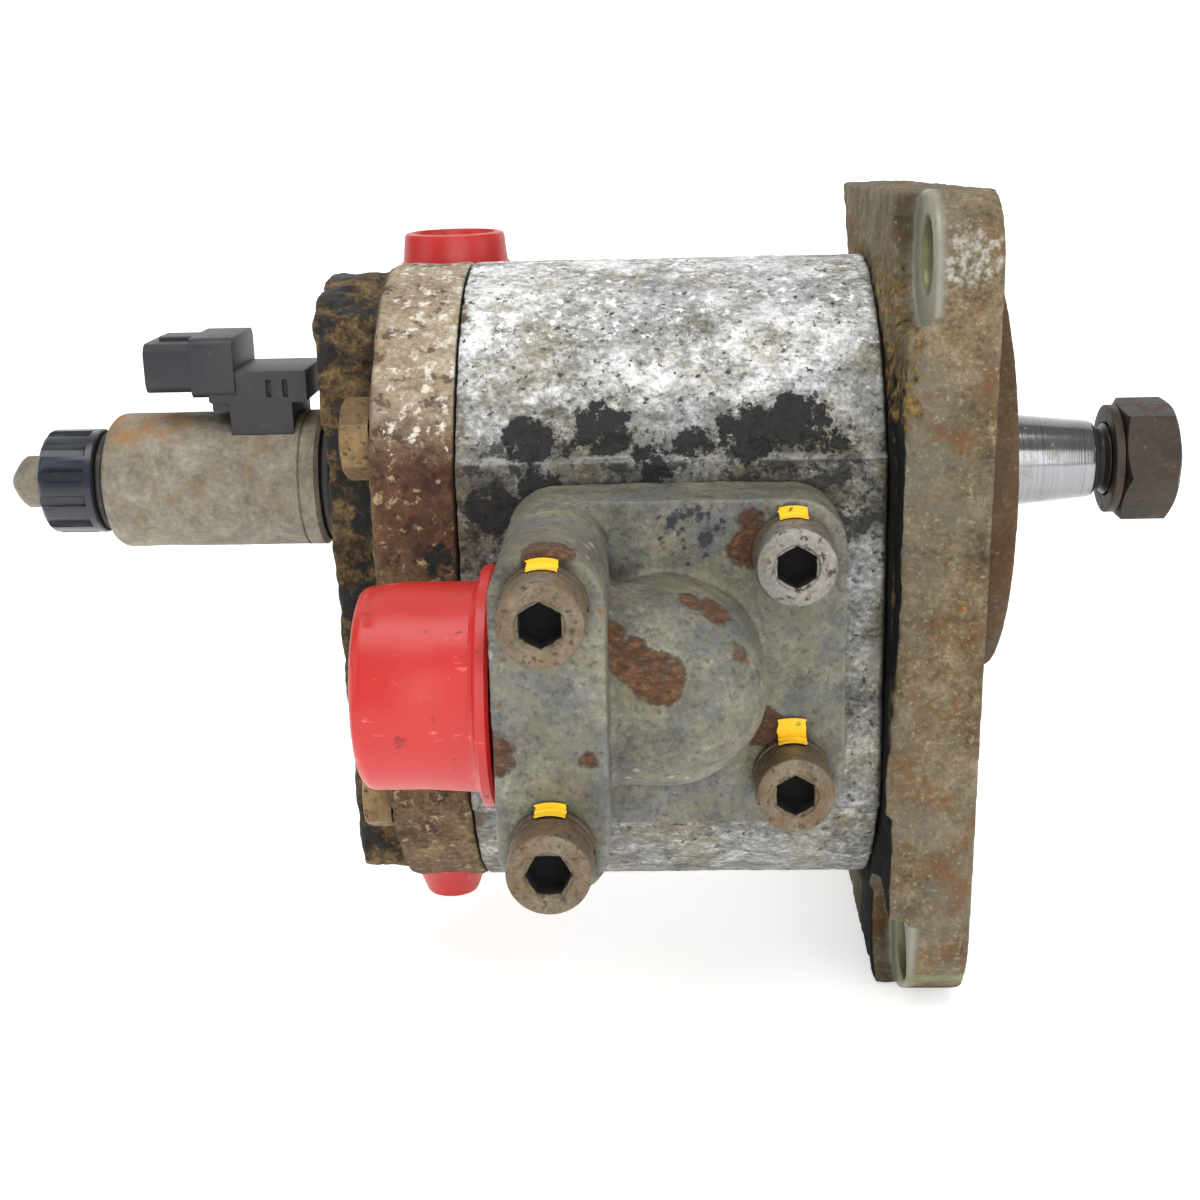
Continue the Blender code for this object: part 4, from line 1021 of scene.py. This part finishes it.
def make_housing():
    rear, front = HOUSING_X
    housing = slab("housing_body", housing_outline(), "X", rear, front)
    cut(housing, slab("bores", eight(BORE_R), "X", rear - 1 * MM, front + 1 * MM))
    drill(housing, "X", BOLTS, rear - 1 * MM, front + 1 * MM, BOLT_R + GAP, 24)
    for side in (-1, 1):
        outside = side * (SIDE_Y + 1 * MM)
        drill(housing, "Y", [(PORT_X, PORT_Z)], outside, side * 10 * MM, PORT_R)
        drill(housing, "Y", screw_places(), outside, side * TAPPED_Y, SCREW_R + GAP, 24)
    cast(housing, 0.62 * MM, 3)

    def rough_here(point):
        across = math.hypot(point.x - PORT_X, point.z - PORT_Z)
        if abs(point.y) > 20 * MM and across < PORT_R + 0.6 * MM:
            return 0.05
        inside = abs(point.y) < 26 * MM and -70 * MM < point.z < 27 * MM
        return 0.0 if inside else 1.0

    roughen(housing, ((18, 0.12, 0), (3.6, 0.1, 0), (1.7, 0.09, 0), (2.6, 0.5, 0.35)), rough_here)
    show(housing, LOOKS["aluminium"], "gear_housing", angle=60)


def make_cover():
    rear, front = COVER_X
    cover = slab("cover_casting", housing_outline(0, False), "X", rear, front)
    boss = slab("boss", housing_outline(-1.6 * MM, False), "X", BOSS_X, rear + 2 * MM)
    for vertex in boss.data.vertices:
        if vertex.co.x < rear:
            vertex.co.x += BOSS_SLANT * max(0.0, VALVE_Z - vertex.co.z)
    near_side = box_outline(BOSS_Y, 60 * MM, -100 * MM, 60 * MM, 3 * MM)
    combine(boss, slab("keep", near_side, "X", BOSS_X - 5 * MM, 0), "INTERSECT")
    join(cover, boss)
    outside = BOSS_X - 1 * MM
    drill(cover, "X", [(0, VALVE_Z)], outside, -95 * MM, VALVE_BORE_R)
    drill(cover, "X", BOLTS, outside, front + 1 * MM, BOLT_R + GAP, 24)
    drill(cover, "X", BOLTS, outside, rear, BOLT_HEAD_SPACE_R)
    for plug, top, bottom in (("top_plug", 42 * MM, 22 * MM), ("bottom_plug", -86 * MM, -30 * MM)):
        place = (middle(plug, "X"), middle(plug, "Y"))
        drill(cover, "Z", [place], top, bottom, PLUG_PORT_R)
    cast(cover, 0.65 * MM, 6)

    def rough_here(point):
        if point.x > front - 0.8 * MM:
            return 0.1
        return 1.0 if point.x > rear - 1 * MM else 1.4

    roughen(cover, ((11, 0.35, 0), (4.2, 0.3, 0), (1.8, 0.2, 0), (3.2, 0.5, 0.3)), rough_here)
    show(cover, LOOKS["cover_iron"], "rear_cover", angle=60)


def make_elbow():
    left = PORT_X - ELBOW_HALF
    top = PORT_Z + ELBOW_HALF
    bottom = PORT_Z - ELBOW_HALF
    inset = 0.3 * MM
    plate = box_outline(left, PORT_X + ELBOW_HALF, bottom, top, 8.6 * MM)
    elbow = slab("elbow_casting", plate, "Y", ELBOW_PLATE, ELBOW_FACE)
    block_right = left + 2 * ELBOW_EDGE
    block = box_outline(left + inset, block_right, bottom + inset, top - inset, 8.4 * MM)
    bend = (ELBOW_BEND_X, ELBOW_Y, PORT_Z)
    plate_inside = (ELBOW_BEND_X, ELBOW_PLATE + 2 * MM, PORT_Z)
    join(
        elbow,
        slab("block", block, "Y", ELBOW_BLOCK, ELBOW_PLATE + 2 * MM),
        rod("tube", (block_right - 4 * MM, ELBOW_Y, PORT_Z), bend, ELBOW_R, 64),
        ball("bend", bend, ELBOW_R + 0.1 * MM),
        rod("riser", bend, plate_inside, ELBOW_R - 0.2 * MM, 60),
        rod("stub", (STUB_END, ELBOW_Y, PORT_Z), (left + 3 * MM, ELBOW_Y, PORT_Z), STUB_R, 64),
    )
    corner = (PORT_X, ELBOW_Y, PORT_Z)
    cut(
        elbow,
        rod("bore", (STUB_END - 2 * MM, ELBOW_Y, PORT_Z), corner, PORT_R),
        ball("turn", corner, PORT_R + 0.1 * MM),
        rod("port", corner, (PORT_X, ELBOW_FACE + 2 * MM, PORT_Z), PORT_R),
    )
    hole_r = SCREW_R + 0.5 * MM
    drill(elbow, "Y", screw_places(), ELBOW_BLOCK - 3 * MM, ELBOW_FACE + 2 * MM, hole_r, 32)
    cast(elbow, 0.45 * MM, 14)
    roughen(elbow, ((12, 0.25, 0), (3.5, 0.12, 0), (1.4, 0.08, 0), (2.6, 0.3, 0.35)))
    show(elbow, LOOKS["elbow_iron"], "elbow_flange", angle=60)


# ------------------------------------------------------------ fasteners


def make_elbow_screws():
    silver = screw_look("silvery_screw_steel", (146, 142, 134), (92, 88, 80), 0.08, 0.6)
    for name, (x, z) in zip(ELBOW_SCREWS, screw_places()):
        top = low(f"{name}_screw", "Y")
        end = high(f"{name}_screw", "Y")
        length = end - top
        profile = [(0, 0), (0, HEAD_R - 1.1 * MM)]
        profile += arc((0.7 * MM, HEAD_R - 0.7 * MM), 0.7 * MM, math.pi * 0.75, math.pi / 2, 4)
        profile += [
            (HEAD_H - 0.2 * MM, HEAD_R),
            (HEAD_H, HEAD_R - 0.2 * MM),
            (HEAD_H, SCREW_R),
            (length - 0.6 * MM, SCREW_R),
            (length, SCREW_R - 0.6 * MM),
            (length, 0),
        ]
        screw = turned(f"{name}_socket_screw", profile, (x, top, z), (0, 1, 0))
        socket_turn = 0.0 if name == "lower_outlet" else math.pi / 6
        floor = top + 4.2 * MM
        cut(screw, hexagon("socket", (x, top - 1 * MM, z), (x, floor, z), 6.2 * MM, socket_turn))
        mouth = ((0, 0), (0, 3.9 * MM), (0.5 * MM, 3.45 * MM), (0.5 * MM, 0))
        cut(screw, turned("mouth", mouth, (x, top - 0.05 * MM, z), (0, 1, 0)))
        soften(screw, 0.12 * MM)
        paint = silver if name == "upper_flange" else LOOKS["screw_steel"]
        show(screw, paint, f"{name}_screw")
        make_spring_washer(name, x, z)
        make_paint_mark(name, x, z, low(f"{name}_washer", "Y"), high(f"{name}_washer", "Y"))


def make_spring_washer(name, x, z):
    near = low(f"{name}_washer", "Y")
    far = high(f"{name}_washer", "Y")
    inner = SCREW_R + 0.2 * MM
    outer = 6.7 * MM
    sides = ((0, inner), (0, outer), (far - near, outer), (far - near, inner))
    washer = turned(f"{name}_spring_washer", sides, (x, near, z), (0, 1, 0), ring=True)
    slit = box_outline(x + 2 * MM, x + 9 * MM, z - 0.5 * MM, z + 0.5 * MM, 0.1 * MM, 2)
    cut(washer, slab("slit", slit, "Y", near - 1 * MM, far + 1 * MM))
    soften(washer, 0.2 * MM)
    show(washer, LOOKS["screw_steel"], f"{name}_washer")


def make_paint_mark(name, x, z, near, far):
    """A stroke of paint over the head's foot and the washer, and up the casting behind them."""
    film = 0.35 * MM
    climb = PAINT_CLIMB[name]
    path = [(near - 1.5 * MM + step * 0.3 * MM, HEAD_R + film) for step in range(6)]
    path += [(near + 0.3 * MM, 6.7 * MM + film), (far - film, 6.7 * MM + film)]
    path += [(far - film, 6.7 * MM + film + climb * step / 6) for step in range(1, 7)]
    bm = bmesh.new()
    rows = []
    for place, (y, radius) in enumerate(path):
        row = []
        for index in range(15):
            side = index / 14 * 2 - 1
            wobble = 1 + 0.14 * noise.noise(Vector((x * 900, place * 0.6, side * 2)))
            angle = math.pi / 2 + side * 2.4 * MM * wobble / radius
            row.append(bm.verts.new((x + radius * math.cos(angle), y, z + radius * math.sin(angle))))
        rows.append(row)
    for back, ahead in zip(rows, rows[1:]):
        for index in range(14):
            bm.faces.new((back[index], back[index + 1], ahead[index + 1], ahead[index]))
    mark = add_object(f"{name}_paint_mark", bm)
    solid = mark.modifiers.new("film", "SOLIDIFY")
    solid.thickness = 0.2 * MM
    apply_modifiers(mark)
    show(mark, PAINT, body="motor")


def make_housing_bolts():
    for index, (y, z) in enumerate(sorted(BOLTS, key=lambda p: (p[0], -p[1])), start=1):
        node = f"housing_bolt_{index}"
        y = middle(node, "Y")
        z = middle(node, "Z")
        top = low(node, "X")
        head = top + 5.3 * MM
        bolt = hexagon(f"{node}_hex", (top, y, z), (head, y, z), 13 * MM, math.pi / 2)
        crown = ((0, 0), (0, 6.2 * MM), (0.7 * MM, 7.6 * MM), (5.3 * MM, 7.6 * MM), (5.3 * MM, 0))
        combine(bolt, turned("crown", crown, (top, y, z)), "INTERSECT")
        join(bolt, rod("shank", (head - 1 * MM, y, z), (high(node, "X"), y, z), BOLT_R - 0.3 * MM, 32))
        soften(bolt, 0.25 * MM)
        show(bolt, LOOKS["zinc_yellow"], node)


# ------------------------------------------------------------ shaft end


def make_shaft():
    rear = low("drive_shaft", "X")
    end = high("drive_shaft", "X")
    small = TAPER_R - 0.1 * (TAPER_END - PILOT_END)
    profile = [(rear, 0), (rear, JOURNAL_R - 0.6 * MM), (rear + 0.6 * MM, JOURNAL_R)]
    profile += [(PILOT_END - 1 * MM, JOURNAL_R)]
    profile += [(PILOT_END, TAPER_R), (TAPER_END - 1.4 * MM, small + 0.14 * MM)]
    profile += arc((TAPER_END - 1.2 * MM, small - 1.1 * MM), 1.2 * MM, math.pi / 2, 0, 6)
    profile += [(TAPER_END, 6.2 * MM), (TAPER_END + 1.2 * MM, 5.9 * MM)]
    pitch = 1.5 * MM
    place = TAPER_END + pitch
    while place < end - pitch:
        profile += [(place, THREAD_ROOT_R)]
        profile += [(place + pitch * share, THREAD_R) for share in (0.45, 0.6)]
        place += pitch
    profile += [(end - 0.4 * MM, THREAD_ROOT_R), (end, 5.6 * MM), (end, 0)]
    shaft = turned("tapered_shaft", profile, (0, 0, 0))
    join(shaft, slab("teeth", gear_outline(0, -math.pi / 2), "X", *gear_span()))
    keyway = box_outline(12 * MM, 24 * MM, -1.5 * MM, 1.5 * MM, 1.4 * MM)
    cut(shaft, slab("keyway", keyway, "Y", 5.6 * MM, 12 * MM))
    soften(shaft, 0.08 * MM, 1)
    show(shaft, LOOKS["machined_steel"], "drive_shaft", angle=25)


def gear_span():
    front = low("front_bearing_block", "X") - GAP
    rear = high("rear_bearing_block", "X") + GAP
    return rear, front


def gear_outline(centre_z, turn, teeth=12, module=3.5 * MM):
    """An involute spur gear's outline, one tooth at the turn angle."""
    pitch_r = teeth * module / 2
    pressure = math.radians(25)
    base_r = pitch_r * math.cos(pressure)
    root_r = pitch_r - 1.15 * module
    tip_r = pitch_r + 0.85 * module
    radii = [root_r] + [base_r + (tip_r - base_r) * step / 8 for step in range(9)]

    def half_angle(radius):
        at_pitch = (math.pi * module / 2 - 0.6 * MM) / (2 * pitch_r)
        angle = math.acos(min(1.0, base_r / radius))
        return at_pitch + math.tan(pressure) - pressure - (math.tan(angle) - angle)

    outline = []
    for tooth in range(teeth):
        centre = turn + math.tau * tooth / teeth
        flank = [(radius, -half_angle(radius)) for radius in radii]
        flank += [(radius, half_angle(radius)) for radius in reversed(radii)]
        outline += [(r * math.cos(centre + a), centre_z + r * math.sin(centre + a)) for r, a in flank]
    return outline


def make_nut():
    rear = low("shaft_nut", "X")
    front = high("shaft_nut", "X")
    nut = hexagon("castle_free_nut", (rear, 0, 0), (front, 0, 0), NUT_ACROSS)
    nut.data.transform(Matrix.Rotation(NUT_TURN, 4, "X"))
    corner = NUT_ACROSS / math.sqrt(3)
    length = front - rear
    crown = (
        (0, 0),
        (0, corner - 2.0 * MM),
        (0.9 * MM, corner + 0.1 * MM),
        (length - 1.1 * MM, corner + 0.1 * MM),
        (length, corner - 2.0 * MM),
        (length, 0),
    )
    combine(nut, turned("crown", crown, (rear, 0, 0)), "INTERSECT")
    cut(nut, rod("hole", (rear - 2 * MM, 0, 0), (front + 2 * MM, 0, 0), 7.1 * MM))
    soften(nut, 0.35 * MM, 3)
    show(nut, LOOKS["black_steel"], "shaft_nut")
    near = low("lock_washer", "X")
    far = high("lock_washer", "X")
    sides = ((0, 7.15 * MM), (0, 10.4 * MM), (far - near, 10.4 * MM), (far - near, 7.15 * MM))
    washer = turned("split_washer", sides, (near, 0, 0), ring=True)
    slit = box_outline(5 * MM, 14 * MM, -0.6 * MM, 0.6 * MM, 0.1 * MM, 2)
    cut(washer, slab("slit", slit, "X", near - 1 * MM, far + 1 * MM))
    soften(washer, 0.2 * MM)
    show(washer, LOOKS["black_steel"], "lock_washer")


def make_shaft_seal():
    start = low("shaft_seal", "X")
    lip = 9.9 * MM
    outer = SEAL_BORE_R - 0.2 * MM
    profile = [(0, lip + 3.2 * MM), (0, outer), (6.6 * MM, outer), (7 * MM, outer - 0.5 * MM)]
    profile += [(7 * MM, lip + 4.6 * MM), (5.9 * MM, lip + 4.0 * MM), (5.9 * MM, lip + 2.6 * MM)]
    profile += [(7 * MM, lip + 1.2 * MM), (4.4 * MM, lip), (3.8 * MM, lip), (2.8 * MM, lip + 3.2 * MM)]
    seal = turned("lip_seal", profile, (start, 0, 0), ring=True)
    show(seal, LOOKS["rubber"], "shaft_seal")


# ------------------------------------------------------- caps and plugs


def make_elbow_cap():
    start = low("elbow_cap", "X")
    end = high("elbow_cap", "X")
    length = end - start
    wall_in = STUB_R + 0.25 * MM
    lip = 19.8 * MM
    profile = [(0.5 * MM, 0), (0.5 * MM, 12.2 * MM), (0, 12.8 * MM), (0, 14.0 * MM)]
    profile += arc((2.2 * MM, 14.6 * MM), 2.2 * MM, math.pi * 0.92, math.pi / 2, 8)
    profile += [(length * 0.55, 17.2 * MM), (length - 3.4 * MM, 17.35 * MM)]
    profile += [(length - 2.7 * MM, 17.9 * MM), (length - 2.4 * MM, lip - 0.4 * MM)]
    profile += [(length - 2.0 * MM, lip), (length - 0.6 * MM, lip), (length, lip - 0.5 * MM)]
    profile += [(length, wall_in + 0.4 * MM), (length - 0.5 * MM, wall_in)]
    profile += [(1.8 * MM, wall_in), (1.8 * MM, 0)]
    cap = turned("transport_cap", profile, (start, ELBOW_Y, PORT_Z), segments=128)
    split_long_faces(cap, 2.2 * MM)
    axis = Vector((0, ELBOW_Y, PORT_Z))
    for vertex in cap.data.vertices:
        offset = vertex.co - axis
        radial = Vector((0, offset.y, offset.z))
        if radial.length < wall_in + 0.9 * MM:
            continue
        share = (vertex.co.x - start) / length
        angle = math.atan2(offset.z, offset.y)
        spot = Vector((share * 3, math.cos(angle) * 1.6, math.sin(angle) * 1.6))
        dent = 0.35 * MM * noise.noise(spot)
        vertex.co += radial.normalized() * (dent - 0.12 * MM)
    show(cap, LOOKS["red_plastic"], "elbow_cap")


def split_long_faces(obj, step):
    """Cuts a lathe piece across its axis, so that its long sides can bend."""
    xs = [vertex.co.x for vertex in obj.data.vertices]
    bm = bmesh.new()
    bm.from_mesh(obj.data)
    place = min(xs) + step
    while place < max(xs):
        geometry = bm.verts[:] + bm.edges[:] + bm.faces[:]
        bmesh.ops.bisect_plane(bm, geom=geometry, plane_co=(place, 0, 0), plane_no=(1, 0, 0))
        place += step
    bm.to_mesh(obj.data)
    bm.free()


def make_plug(node, direction, wide, narrow, height):
    """A tapered transport plug with a round stem, a rim and a hollow top, its head's sizes in mm."""
    seat = low(node, "Z") + 12 * MM if direction > 0 else high(node, "Z") - 12 * MM
    profile = [(-12, 0), (-12, 4.3), (-11.2, 4.9), (0, 4.9)]
    profile += [(0, wide - 0.3), (0.4, wide), (1.4, wide), (1.9, wide - 0.5)]
    profile += [(height - 0.8, narrow), (height - 0.2, narrow - 0.3), (height, narrow - 0.9)]
    profile += [(height, narrow - 1.6), (height - 0.8, narrow - 2.0), (2.2, narrow - 2.4), (2, 0)]
    start = (middle(node, "X"), middle(node, "Y"), seat)
    plug = turned(f"{node}_moulding", in_mm(profile), start, (0, 0, direction))
    show(plug, LOOKS["red_plastic"], node)


# --------------------------------------------------------------- solenoid


def make_coil():
    front = high("coil_can", "X")
    rear = low("coil_can", "X")
    groove = front - 3.7 * MM
    profile = [(front, TUBE_R), (front, COIL_R - 0.8 * MM), (front - 0.8 * MM, COIL_R)]
    profile += [(groove + GAP, COIL_R), (groove, COIL_R - 0.25 * MM), (groove - GAP, COIL_R)]
    profile += arc((rear + 3.0 * MM, COIL_R - 3.0 * MM), 3.0 * MM, math.pi / 2, math.pi, 10)
    profile += [(rear, 9.4 * MM), (rear + 0.5 * MM, 9.0 * MM), (rear + 0.5 * MM, TUBE_R)]
    coil = turned("coil_case", profile, (0, 0, VALVE_Z), ring=True)
    split_long_faces(coil, 1.5 * MM)
    roughen(coil, ((9, 0.16, 0), (2.4, 0.05, 0)))
    show(coil, LOOKS["coil_steel"], "coil_can")
    for name, node in (("front_ring", "coil_front_seal"), ("rear_ring", "coil_rear_seal")):
        near = low(node, "X")
        far = high(node, "X")
        half = (far - near) / 2
        outer = (high(node, "Z") - low(node, "Z")) / 2
        bulge = arc(((near + far) / 2, outer - half), half, 0, math.pi, 10)
        sides = bulge + [(near, TUBE_R), (far, TUBE_R)]
        seal = turned(f"coil_{name}", sides, (0, 0, VALVE_Z), ring=True)
        show(seal, LOOKS["rubber"], node)


def make_coil_nut():
    front = high("coil_nut", "X")
    rear = low("coil_nut", "X")
    radius = 10.25 * MM
    deep = 9.25 * MM
    collar = front - 1.9 * MM
    outline = []
    for flute in range(FLUTES):
        turn = math.tau * flute / FLUTES
        for reach, angles in ((radius, FLUTE_LAND), (deep, FLUTE_GROOVE)):
            outline += [
                (reach * math.cos(turn + a), VALVE_Z + reach * math.sin(turn + a)) for a in angles
            ]
    nut = slab("fluted_coil_nut", outline, "X", rear, collar + 0.4 * MM)
    crown = ((0, 0), (0, 9.15), (0.5, 9.9), (1.4, 10.35), (9.5, 10.35), (9.5, 0))
    combine(nut, turned("crown", in_mm(crown), (rear, 0, VALVE_Z)), "INTERSECT")
    thick = front - collar
    bevel = 0.3 * MM
    rim = [(0, 0), (0, radius - bevel), (bevel, radius), (thick - bevel, radius)]
    rim += [(thick, radius - bevel), (thick, 0)]
    join(nut, turned("rim", rim, (collar, 0, VALVE_Z)))
    drill(nut, "X", [(0, VALVE_Z)], rear + 3 * MM, front + 2 * MM, TUBE_R)
    drill(nut, "X", [(0, VALVE_Z)], rear - 2 * MM, rear + 4 * MM, 4.6 * MM)
    soften(nut, 0.16 * MM)
    show(nut, LOOKS["nut_plastic"], "coil_nut")


def make_adjuster():
    tip = low("adjuster_screw", "X")
    end = high("adjuster_screw", "X")
    nut_face = low("coil_nut", "X")
    collar = nut_face - 1.4 * MM
    screw = hexagon("adjuster_hex", (tip, 0, 0), (collar + 0.5 * MM, 0, 0), 8.9 * MM)
    turn = Matrix.Rotation(TIP_TURN, 4, "X")
    screw.data.transform(Matrix.Translation((0, 0, VALVE_Z)) @ turn)
    crown = ((0, 0), (0, 1.6), (1.2, 3.4), (2.8, 5.3), (8, 5.3), (8, 0))
    combine(screw, turned("crown", in_mm(crown), (tip, 0, VALVE_Z)), "INTERSECT")
    join(
        screw,
        rod("collar", (collar, 0, VALVE_Z), (nut_face - GAP, 0, VALVE_Z), 5.4 * MM),
        rod("stem", (nut_face - 0.5 * MM, 0, VALVE_Z), (end, 0, VALVE_Z), 4.2 * MM),
    )
    soften(screw, 0.25 * MM)
    show(screw, LOOKS["coil_steel"], "adjuster_screw")


def make_spring():
    """The poppet's spring, which shortens as the poppet lifts and leaves the armature its stroke."""
    wire = 0.45 * MM
    radius = (high("poppet_spring", "Z") - low("poppet_spring", "Z")) / 2 - wire
    rear = low("poppet_spring", "X") + ARMATURE_TRAVEL
    front = high("poppet_spring", "X")
    steps = 180
    bm = bmesh.new()
    rings = []
    for step in range(steps + 1):
        angle = math.tau * 4.5 * step / steps
        radial = Vector((0, math.cos(angle), math.sin(angle)))
        place = rear + wire + (front - rear - 2 * wire) * step / steps
        centre = Vector((place, 0, VALVE_Z)) + radial * radius
        round_wire = arc((0, 0), wire, 0, math.tau * 11 / 12, 11)
        rings.append([bm.verts.new(centre + radial * a + Vector((b, 0, 0))) for a, b in round_wire])
    for back, ahead in zip(rings, rings[1:]):
        for index in range(12):
            after = (index + 1) % 12
            bm.faces.new((back[index], back[after], ahead[after], ahead[index]))
    bm.faces.new(rings[0])
    bm.faces.new(list(reversed(rings[-1])))
    spring = add_object("coil_spring", bm)
    show(spring, LOOKS["machined_steel"], "poppet_spring")
    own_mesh(spring)


def make_connector():
    half = 8.5
    edge = half + 0.6
    inner = half - 1.5
    blocks = (
        ("plug_body", (-141.5, -122.6), (15.4, 21.4), 0.5, "Y", (-half, half)),
        ("saddle", (-137.6, -125.6), (8.0, 17.0), 0.5, "Y", (-half, half)),
        ("step", (-141.2, -136.4), (13.6, 16.4), 0.4, "Y", (1.2 - half, half - 1.2)),
        ("collar", (-edge, edge), (16.4, 27.8), 2.0, "X", (-144.6, -136.2)),
        ("shroud", (-half, half), (17.3, 26.8), 2.4, "X", (-153.5, -144.0)),
        ("latch", (-3.4, 3.4), (26.0, 27.6), 0.4, "X", (-151.5, -143.0)),
    )
    body, *others = [block(*sizes) for sizes in blocks]
    join(body, *others)
    cut(body, block("cavity", (-inner, inner), (18.8, 25.3), 1.6, "X", (-156, -141)))
    drill(body, "X", [(0, VALVE_Z)], -145 * MM, -118 * MM, COIL_R + 0.2 * MM, 96)
    for x in (-130.4, -127.2):
        cut(body, block("groove", (x, x + 1), (16.4, 19.8), 0.2, "Y", (-half - 1, 0.7 - half), 2))
    for y in (-2.6, 2.6):
        cut(body, block("slot", (y - 1.7, y + 1.7), (21.3, 22.7), 0.2, "X", (-143, -137.5), 2))
    soften(body, 0.3 * MM)
    show(body, LOOKS["connector_plastic"], "connector_housing")


# ------------------------------------------------------------ the rest



def finish_cad_nodes():
    """Every CAD node that still shows gets its slot's material."""
    slots = {entry["node"]: entry["material_slot"] for entry in frame["record"]["subparts"]}
    for name, obj in frame["nodes"].items():
        obj.data.materials.clear()
        obj.data.materials.append(LOOKS[slots[name]])


def make_stage():
    floor_z = cad_bounds[0][2] - 0.2 * MM
    depth = 1.6
    profile = [(-1.2, floor_z), (0.5, floor_z)]
    profile += [(0.5 + y, floor_z + 0.6 + z) for y, z in arc((0, 0), 0.6, -math.pi / 2, 0, 16)]
    profile.append((1.1, 2.2))
    bm = bmesh.new()
    rows = [[bm.verts.new((x, y, z)) for y, z in profile] for x in (-depth, depth)]
    for index in range(len(profile) - 1):
        bm.faces.new((rows[0][index], rows[0][index + 1], rows[1][index + 1], rows[1][index]))
    backdrop = add_object("backdrop", bm)
    backdrop.data.shade_smooth()
    look = Look("white_backdrop")
    tone = look.mix(look.noise(300 * MM, 2), (250, 250, 250), (255, 255, 255))
    look.coats((tone, 0.9, 0.0), ())
    look.shader.inputs["Emission Color"].default_value = (1, 1, 1, 1)
    look.shader.inputs["Emission Strength"].default_value = 0.5
    backdrop.data.materials.append(look.relief((look.noise(40 * MM, 2), 0.01)))


def make_camera():
    yaw, pitch, roll = (math.radians(angle) for angle in (-2.45, 16.13, -1.48))
    flat = math.cos(pitch)
    forward = Vector((math.sin(yaw) * flat, math.cos(yaw) * flat, -math.sin(pitch)))
    level = Vector((math.cos(yaw), -math.sin(yaw), 0))
    rise = level.cross(forward)
    right = level * math.cos(roll) + rise * math.sin(roll)
    up = rise * math.cos(roll) - level * math.sin(roll)
    data = bpy.data.cameras.new("camera")
    data.lens = 52.37
    data.sensor_width = 36.0
    data.clip_start = 0.01
    camera = bpy.data.objects.new("camera", data)
    matrix = Matrix((right, up, -forward)).transposed().to_4x4()
    matrix.translation = Vector((-53.7, -336.5, 70.2)) * MM
    camera.matrix_world = matrix
    bpy.context.scene.collection.objects.link(camera)
    bpy.context.scene.camera = camera


def add_light(name, place, target, size, power):
    data = bpy.data.lights.new(name, "AREA")
    data.shape = "RECTANGLE"
    data.size, data.size_y = size
    data.energy = power
    light = bpy.data.objects.new(name, data)
    light.location = place
    aim = Vector(target) - Vector(place)
    light.rotation_euler = aim.to_track_quat("-Z", "Y").to_euler()
    bpy.context.scene.collection.objects.link(light)


def make_light():
    centre = (-0.06, 0, -0.02)
    add_light("key", (-0.15, -0.25, 0.75), centre, (0.9, 0.5), 5.5)
    add_light("front", (0.1, -0.9, 0.25), centre, (0.8, 0.6), 4.5)
    add_light("right", (0.8, -0.3, 0.25), centre, (0.5, 0.6), 2)
    add_light("left", (-0.8, -0.3, 0.3), centre, (0.5, 0.6), 1.2)
    world = bpy.data.worlds.new("studio")
    bpy.context.scene.world = world
    world.use_nodes = True
    background = world.node_tree.nodes["Background"]
    background.inputs["Color"].default_value = (1, 1, 1, 1)
    background.inputs["Strength"].default_value = 0.3


def main():
    make_camera()
    make_light()
    make_stage()
    finish_cad_nodes()
    make_flange()
    make_housing()
    make_cover()
    make_elbow()
    make_elbow_screws()
    make_housing_bolts()
    make_shaft()
    make_nut()
    make_shaft_seal()
    make_elbow_cap()
    make_plug("top_plug", 1, 11.3, 10.3, 7.6)
    make_plug("bottom_plug", -1, 8.2, 5.6, 8.6)
    make_coil()
    make_coil_nut()
    make_adjuster()
    make_spring()
    make_connector()
    bpy.context.scene.view_settings.view_transform = "Standard"
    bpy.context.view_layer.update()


main()
